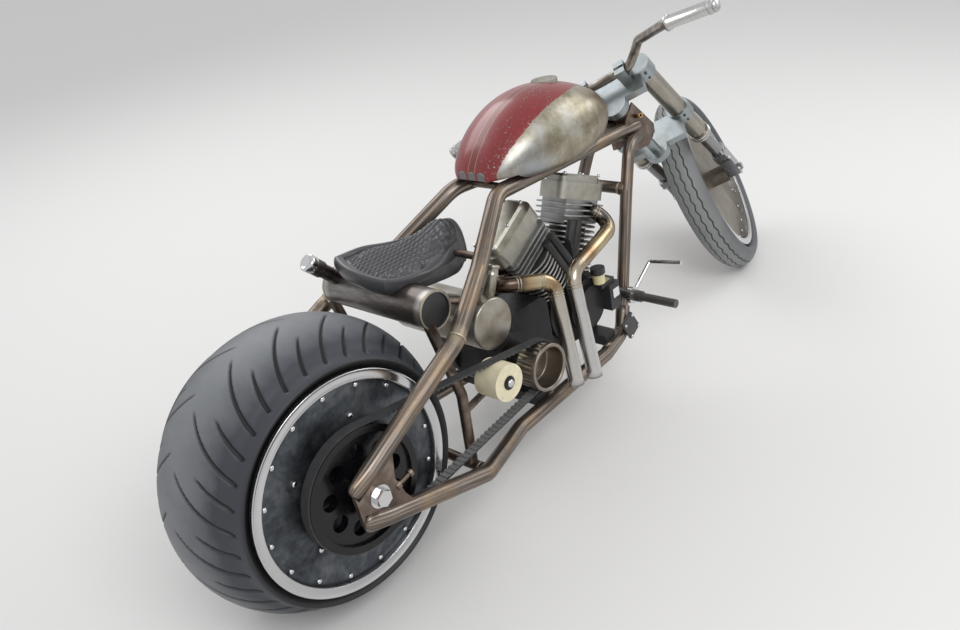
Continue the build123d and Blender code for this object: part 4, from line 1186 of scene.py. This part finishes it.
def saddleGrid(rows, columns):
    # rings that shrink to the middle of the top, go down the skirt and close under the pan
    outline = saddleOutline(around(columns) + np.pi / columns)
    middle = outline.mean(0)
    thick = saddleSizes["thick"]
    share = np.linspace(1, 0, rows, endpoint=False)[::-1]
    flat = middle + share[:, None, None] * (outline - middle)
    inset = (1 - share)[:, None] * np.linalg.norm(outline - middle, axis=1) * 0.86
    top = np.concatenate([flat, (saddleTop(flat) + saddleRelief(flat, inset))[..., None]], -1)
    down = np.linspace(0, 1, max(4, rows // 8) + 1)[1:, None]
    bulge = 1 + 0.018 * np.sin(np.pi * down) - 0.03 * down**3
    skirtFlat = middle + bulge[..., None] * (outline - middle)
    skirt = np.concatenate([skirtFlat, (top[-1][None, :, 2] - down * thick)[..., None]], -1)
    under = np.linspace(1, 0, max(4, rows // 10) + 1)[1:-1, None, None]
    panFlat = middle + under * (skirtFlat[-1] - middle)
    pan = np.concatenate([panFlat, (saddleTop(panFlat) - thick)[..., None]], -1)
    return np.concatenate([top, skirt, pan])


def saddlePlace(points):
    # rolls the saddle about the bike's length and pushes it off the oil tank
    pivot, clear = saddleSizes["pivot"], tankSizes["oilRadius"] + saddleSizes["tankGap"]
    y, z = tilted(points[..., 1], points[..., 2] - pivot, saddleSizes["roll"])
    away = np.stack([points[..., 0] - oilX, pivot + z - oilZ], -1)
    gap = np.linalg.norm(away, axis=-1)
    away = away * np.where(gap < clear, clear / np.maximum(gap, 1e-6), 1)[..., None]
    return np.stack([oilX + away[..., 0], y, oilZ + away[..., 1]], -1)


def swell(grid):
    # cloth with a little air in it, on a coarse copy; how far each point of the grid moves
    points, faces, uvs = outward(surface(grid, poles=(grid[0].mean(0), grid[-1].mean(0))))
    data = bpy.data.meshes.new("swellTrial")
    data.from_pydata(points.tolist(), [], [face for group in faces for face in group.tolist()])
    trial = addObject("swellTrial", data)
    cloth = trial.modifiers.new("cloth", "CLOTH")
    cloth.settings.use_pressure = True
    cloth.settings.uniform_pressure_force = saddleSizes["pressure"]
    cloth.settings.effector_weights.gravity = 0.0
    cloth.point_cache.frame_start = 1
    cloth.point_cache.frame_end = saddleSizes["swellFrames"]
    for number in range(1, saddleSizes["swellFrames"] + 1):
        bpy.context.scene.frame_set(number)
    shaped = trial.evaluated_get(bpy.context.evaluated_depsgraph_get()).to_mesh()
    points = np.empty(len(shaped.vertices) * 3)
    shaped.vertices.foreach_get("co", points)
    shift = points.reshape(-1, 3)[: grid.shape[0] * grid.shape[1]].reshape(grid.shape) - grid
    bpy.data.objects.remove(trial)
    bpy.context.scene.frame_set(1)
    shift = shift - shift.mean((0, 1))
    size = np.linalg.norm(shift, axis=-1, keepdims=True)
    return shift * np.minimum(1, saddleSizes["swellCap"] / np.maximum(size, 1e-9))


def spread(field, rows, columns):
    # a coarse field read at more rows and columns, wrapping round the columns
    u = np.linspace(0, field.shape[0] - 1, rows)
    v = np.arange(columns) * field.shape[1] / columns
    i, j = np.minimum(u.astype(int), field.shape[0] - 2), v.astype(int)
    shareU, shareV = (u - i)[:, None, None], (v - j)[None, :, None]
    wrapped = np.concatenate([field, field[:, :1]], 1)
    low = wrapped[i][:, j] * (1 - shareV) + wrapped[i][:, j + 1] * shareV
    high = wrapped[i + 1][:, j] * (1 - shareV) + wrapped[i + 1][:, j + 1] * shareV
    return low * (1 - shareU) + high * shareU


saddle = saddleGrid(saddleSizes["rows"], saddleSizes["columns"])
shift = swell(saddleGrid(saddleSizes["coarseRows"], saddleSizes["coarseColumns"]))
saddle = saddle + spread(shift, len(saddle), saddleSizes["columns"])
saddle = saddlePlace(saddle)
saddlePart = surface(saddle, poles=(saddle[0].mean(0), saddle[-1].mean(0)))
saddlePiece = addMesh("saddle", [saddlePart], "leather", "frame", ["seat"])
print("saddle made")

# Seals and screws of the fork, in the fork's own frame

forkSizes = {
    "seals": (0.2835, 0.296), "clamps": (0.440, 0.702), "screwBack": -0.030, "screwGap": 0.012,
    "screwOut": 0.014, "screw": (0.0046, 0.006), "lugOut": 0.020, "lugScrew": (0.0055, 0.006),
    "lugScrews": ((0.112, -0.020), (0.112, 0.022), (0.020, -0.018)),  # height and how far ahead
}


def onLeg(side, height, ahead=0.0, out=0.0):
    # a point on a fork leg, which kicks forward of the steering axis as it goes down
    x, z = tilted(ahead, height, bikeSizes["legTilt"])
    return np.array([bikeSizes["forkOffset"] + x, side * (bikeSizes["legHalf"] + out), z])


legWay = unit(onLeg(1, 1.0) - onLeg(1, 0.0))
sealSection = [(0.020, 0), (0.0322, 0), (0.0338, 0.0014), (0.0338, 0.0046), (0.0322, 0.006), (0.020, 0.006)]
seals, screws, lugScrews = [], [], []
for side in (-1, 1):
    seals += [turned(sealSection, onLeg(side, height), legWay, 64) for height in forkSizes["seals"]]
    for height in forkSizes["clamps"]:
        for lift in (-forkSizes["screwGap"], forkSizes["screwGap"]):
            spot = onLeg(side, height + lift, forkSizes["screwBack"], forkSizes["screwOut"])
            screws += studs([spot], (-1, 0, 0), *forkSizes["screw"])
    for height, ahead in forkSizes["lugScrews"]:
        spot = onLeg(side, height, ahead, forkSizes["lugOut"])
        lugScrews += studs([spot], (0, side, 0), *forkSizes["lugScrew"])
addMesh("forkSeals", seals, "chrome", "steering", place=fork)
addMesh("clampScrews", screws, "darkSteel", "steering", place=fork)
addMesh("lugScrews", lugScrews, "chrome", "steering", place=fork)

# Handlebar: a bent tube, grips with a collar, end caps, and sleeves over the risers

barLine = [(0.058, 0.0, 0.752), (0.060, 0.084, 0.752), (0.072, 0.118, 0.778), (0.070, 0.146, 0.812),
           (0.016, 0.205, 0.868), (-0.050, 0.258, 0.935), (-0.096, 0.390, 0.952)]
grip, gripLength, collar, ease = (barSizes[name] for name in ("grip", "gripLength", "collar", "ease"))
gripStart = -gripLength - barSizes["collarLength"]
gripSection = [(0.004, gripStart), (collar - ease, gripStart), (collar, gripStart + ease),
               (collar, -gripLength - ease), (collar - ease, -gripLength), (grip, -gripLength), (grip, -ease),
               (grip - ease, 0.0), (0.004, 0.0)]
endSection = [(0.003, -0.002), (0.0168, -0.002), (0.0172, 0.0), (0.0174, 0.002), (0.0150, 0.0065),
              (0.009, 0.0088), (0.003, 0.0094)]
bandSection = [(0.0165, 0), (0.0182, 0.0005), (0.0182, 0.003), (0.0165, 0.0035)]
sleeveSection = [(0.010, 0), (0.0190, 0), (0.0205, 0.002), (0.0205, 0.030), (0.0190, 0.032), (0.010, 0.032)]
barHalf = roundedPath(barLine, barSizes["bend"], 0.003)
barPath = np.vstack([(barHalf * [1, -1, 1])[::-1], barHalf[1:]])
barParts, barEnds, sleeves = [tube(barPath, barSizes["radius"], (0.6, 0, -1), sides=32)], [], []
for side in (-1, 1):
    inner, tip = np.array(barLine[-2:]) * [1, side, 1]
    way = unit(tip - inner)
    barParts.append(turned(gripSection, tip, way, 64))
    barEnds.append(turned(endSection, tip, way, 48))
    barEnds.append(turned(bandSection, tip - way * barSizes["bandBack"], way, 48))
    sleeveStart = (barLine[0][0], side * barSizes["sleeveSide"] - barSizes["sleeveLength"] / 2, barLine[0][2])
    sleeves.append(turned(sleeveSection, sleeveStart, (0, 1, 0), 48))
addMesh("handlebar", barParts, "bar", "steering", ["handlebar"], fork)
addMesh("barEnds", barEnds, "alloy", "steering", place=fork)
addMesh("riserCaps", sleeves, "black", "steering", place=fork)
print("front end details made")

# Neck spigot, bare label, bracket plate and bolts

spigotSizes = {"height": 0.640, "side": -0.034, "shift": (0.004, 0, 0.004), "radius": 0.0062, "bore": 0.0044}
spigotSpot = np.array(onSteeringAxis(spigotSizes["height"], spigotSizes["side"])) + spigotSizes["shift"]
spigotLine = spigotSpot + np.array([(0, 0, 0), (-0.008, -0.016, 0.004), (-0.018, -0.030, 0.010)])
spigot = tube(spigotLine, spigotSizes["radius"], (0, 0, 1), spigotSizes["bore"], 20)
addMesh("neckSpigot", [spigot], "brass", "frame")
labelSizes = {"centre": (0.972, 0.300), "size": 0.026, "corner": 0.002, "outer": -0.1362, "inner": -0.1348,
              "edge": 0.0003}
size = labelSizes["size"]
labelOutline = roundedOutline(labelSizes["centre"], size, size, labelSizes["corner"])
label = slab(labelOutline, labelSizes["outer"], labelSizes["inner"], labelSizes["edge"])
addMesh("bareLabel", [label], "labelWhite", "frame", smooth=False)

plateSizes = {"x": 1.012, "z": 0.176, "width": 0.052, "height": 0.066, "corner": 0.004, "lean": 28,
              "outer": -0.142, "inner": -0.1345, "boltX": 0.019, "boltZ": 0.025, "bolt": (0.0048, 0.006)}
plateOutline = roundedOutline((plateSizes["x"], plateSizes["z"]), plateSizes["width"], plateSizes["height"],
                              plateSizes["corner"], plateSizes["lean"])
plateBolts = []
for up in (-1, 1):
    for ahead in (-1, 1):
        x, z = tilted(ahead * plateSizes["boltX"], up * plateSizes["boltZ"], plateSizes["lean"])
        spot = (plateSizes["x"] + x, plateSizes["outer"], plateSizes["z"] + z)
        plateBolts += studs([spot], (0, -1, 0), *plateSizes["bolt"])
addMesh("lowerPlate", [slab(plateOutline, plateSizes["outer"], plateSizes["inner"])], "darkSteel", "frame")
addMesh("plateBolts", plateBolts, "chrome", "frame")

rollerX, rollerZ = rollerSizes["centre"]
rollerBolt = [(0.002, 0.0), (0.0088, 0.0), (0.0092, 0.003), (0.0088, 0.007), (0.005, 0.0082), (0.002, 0.0083)]
bearing = [(0.0095, 0.0), (0.0165, 0.0), (0.0170, 0.0012), (0.0165, 0.0022), (0.0095, 0.0022)]
for name, section, face, columns, finish in (
    ("rollerBolt", rollerBolt, "boltFace", 36, "chrome"),
    ("rollerBearing", bearing, "bearingFace", 48, "black"),
):
    ring = turned(section, (rollerX, rollerSizes[face], rollerZ), (0, -1, 0), columns)
    addMesh(name, [ring], finish, "frame")

rockerSpots = [(-0.074, -0.030), (0.074, -0.030), (-0.074, 0.030), (0.074, 0.030), (0, -0.032), (0, 0.032)]
crankX, crankZ = engineSizes["crank"]
rockerBolts = []
for tilt in engineSizes["tilts"].values():
    wayX, wayZ = tilted(0, 1, -tilt)
    for ahead, y in rockerSpots:
        x, z = tilted(ahead, engineSizes["coverTop"], -tilt)
        rockerBolts += studs([(crankX + x, y, crankZ + z)], (wayX, 0, wayZ), *engineSizes["coverBolt"])
addMesh("rockerBolts", rockerBolts, "chrome", "frame")
print("small pieces made")

# Floor, lights and camera

stageSizes = {"floorHalf": 40.0, "floorColour": (0.7, 0.69, 0.68), "worldColour": (0.78, 0.79, 0.8),
              "worldLight": 0.95}
lampSizes = {  # place, aim, size, power
    "keyLamp": ((-1.2, -2.6, 3.4), (0, 0, 0.4), (2.4, 1.6), 62),
    "fillLamp": ((2.8, -1.2, 2.4), (0.3, 0, 0.4), (1.8, 1.8), 28),
    "backLamp": ((0.2, 3.0, 2.8), (0, 0, 0.4), (3.0, 1.4), 40),
}
cameraSizes = {
    "fromAxle": (-0.7728, -1.393, 1.2315), "azimuth": -43.787, "elevation": 30.776, "roll": -6.877,
    "lens": 33.67, "sensor": 36.0,
}


def makeStage():
    # a pale floor, and a world whose light is a little lower than what the camera and gloss see of it
    data = bpy.data.meshes.new("floor")
    half = stageSizes["floorHalf"]
    corners = [(-half, -half, 0), (half, -half, 0), (half, half, 0), (-half, half, 0)]
    data.from_pydata(corners, [], [(0, 1, 2, 3)])
    floor = addObject("floor", data)
    data.materials.append(Finish("floorPale").dress(stageSizes["floorColour"], 0.75))
    world = bpy.data.worlds.new("studio")
    bpy.context.scene.world = world
    world.use_nodes = True
    tree = world.node_tree
    tree.nodes.clear()
    rays = addNode(tree, "ShaderNodeLightPath").outputs
    seen = Value(tree, rays["Is Camera Ray"])
    for ray in ("Is Glossy Ray", "Is Transmission Ray"):
        seen = seen.atLeast(Value(tree, rays[ray]))
    strength = seen.between(stageSizes["worldLight"], 1.0)
    background = addNode(tree, "ShaderNodeBackground", inputs={
        "Color": stageSizes["worldColour"], "Strength": strength,
    })
    addNode(tree, "ShaderNodeOutputWorld", inputs={"Surface": background.outputs[0]})


def addLamp(name, place, aim, size, power):
    lamp = bpy.data.lights.new(name, "AREA")
    lamp.shape = "RECTANGLE"
    lamp.size, lamp.size_y = size
    lamp.energy = power
    holder = addObject(name, lamp)
    holder.location = place
    holder.rotation_euler = (Vector(aim) - Vector(place)).to_track_quat("-Z", "Y").to_euler()


def makeCamera():
    # looks along the azimuth and down by the elevation, then rolls about its own line of sight
    azimuth, elevation, roll = (math.radians(cameraSizes[name]) for name in ("azimuth", "elevation", "roll"))
    level = math.cos(elevation)
    ahead = Vector((-math.sin(azimuth) * level, math.cos(azimuth) * level, -math.sin(elevation)))
    side = ahead.cross(Vector((0, 0, 1))).normalized()
    rolledSide = side * math.cos(roll) + side.cross(ahead) * math.sin(roll)
    data = bpy.data.cameras.new("camera")
    data.sensor_width = cameraSizes["sensor"]
    data.lens = cameraSizes["lens"]
    camera = addObject("camera", data)
    turn = Matrix((rolledSide, rolledSide.cross(ahead), -ahead)).transposed().to_4x4()
    spot = Vector(rearWheel.origin) + Vector(cameraSizes["fromAxle"])
    camera.matrix_world = Matrix.Translation(spot) @ turn
    bpy.context.scene.camera = camera


makeStage()
for name, sizes in lampSizes.items():
    addLamp(name, *sizes)
makeCamera()
bpy.context.scene.view_settings.view_transform = "Standard"
print("stage, lamps and camera set")
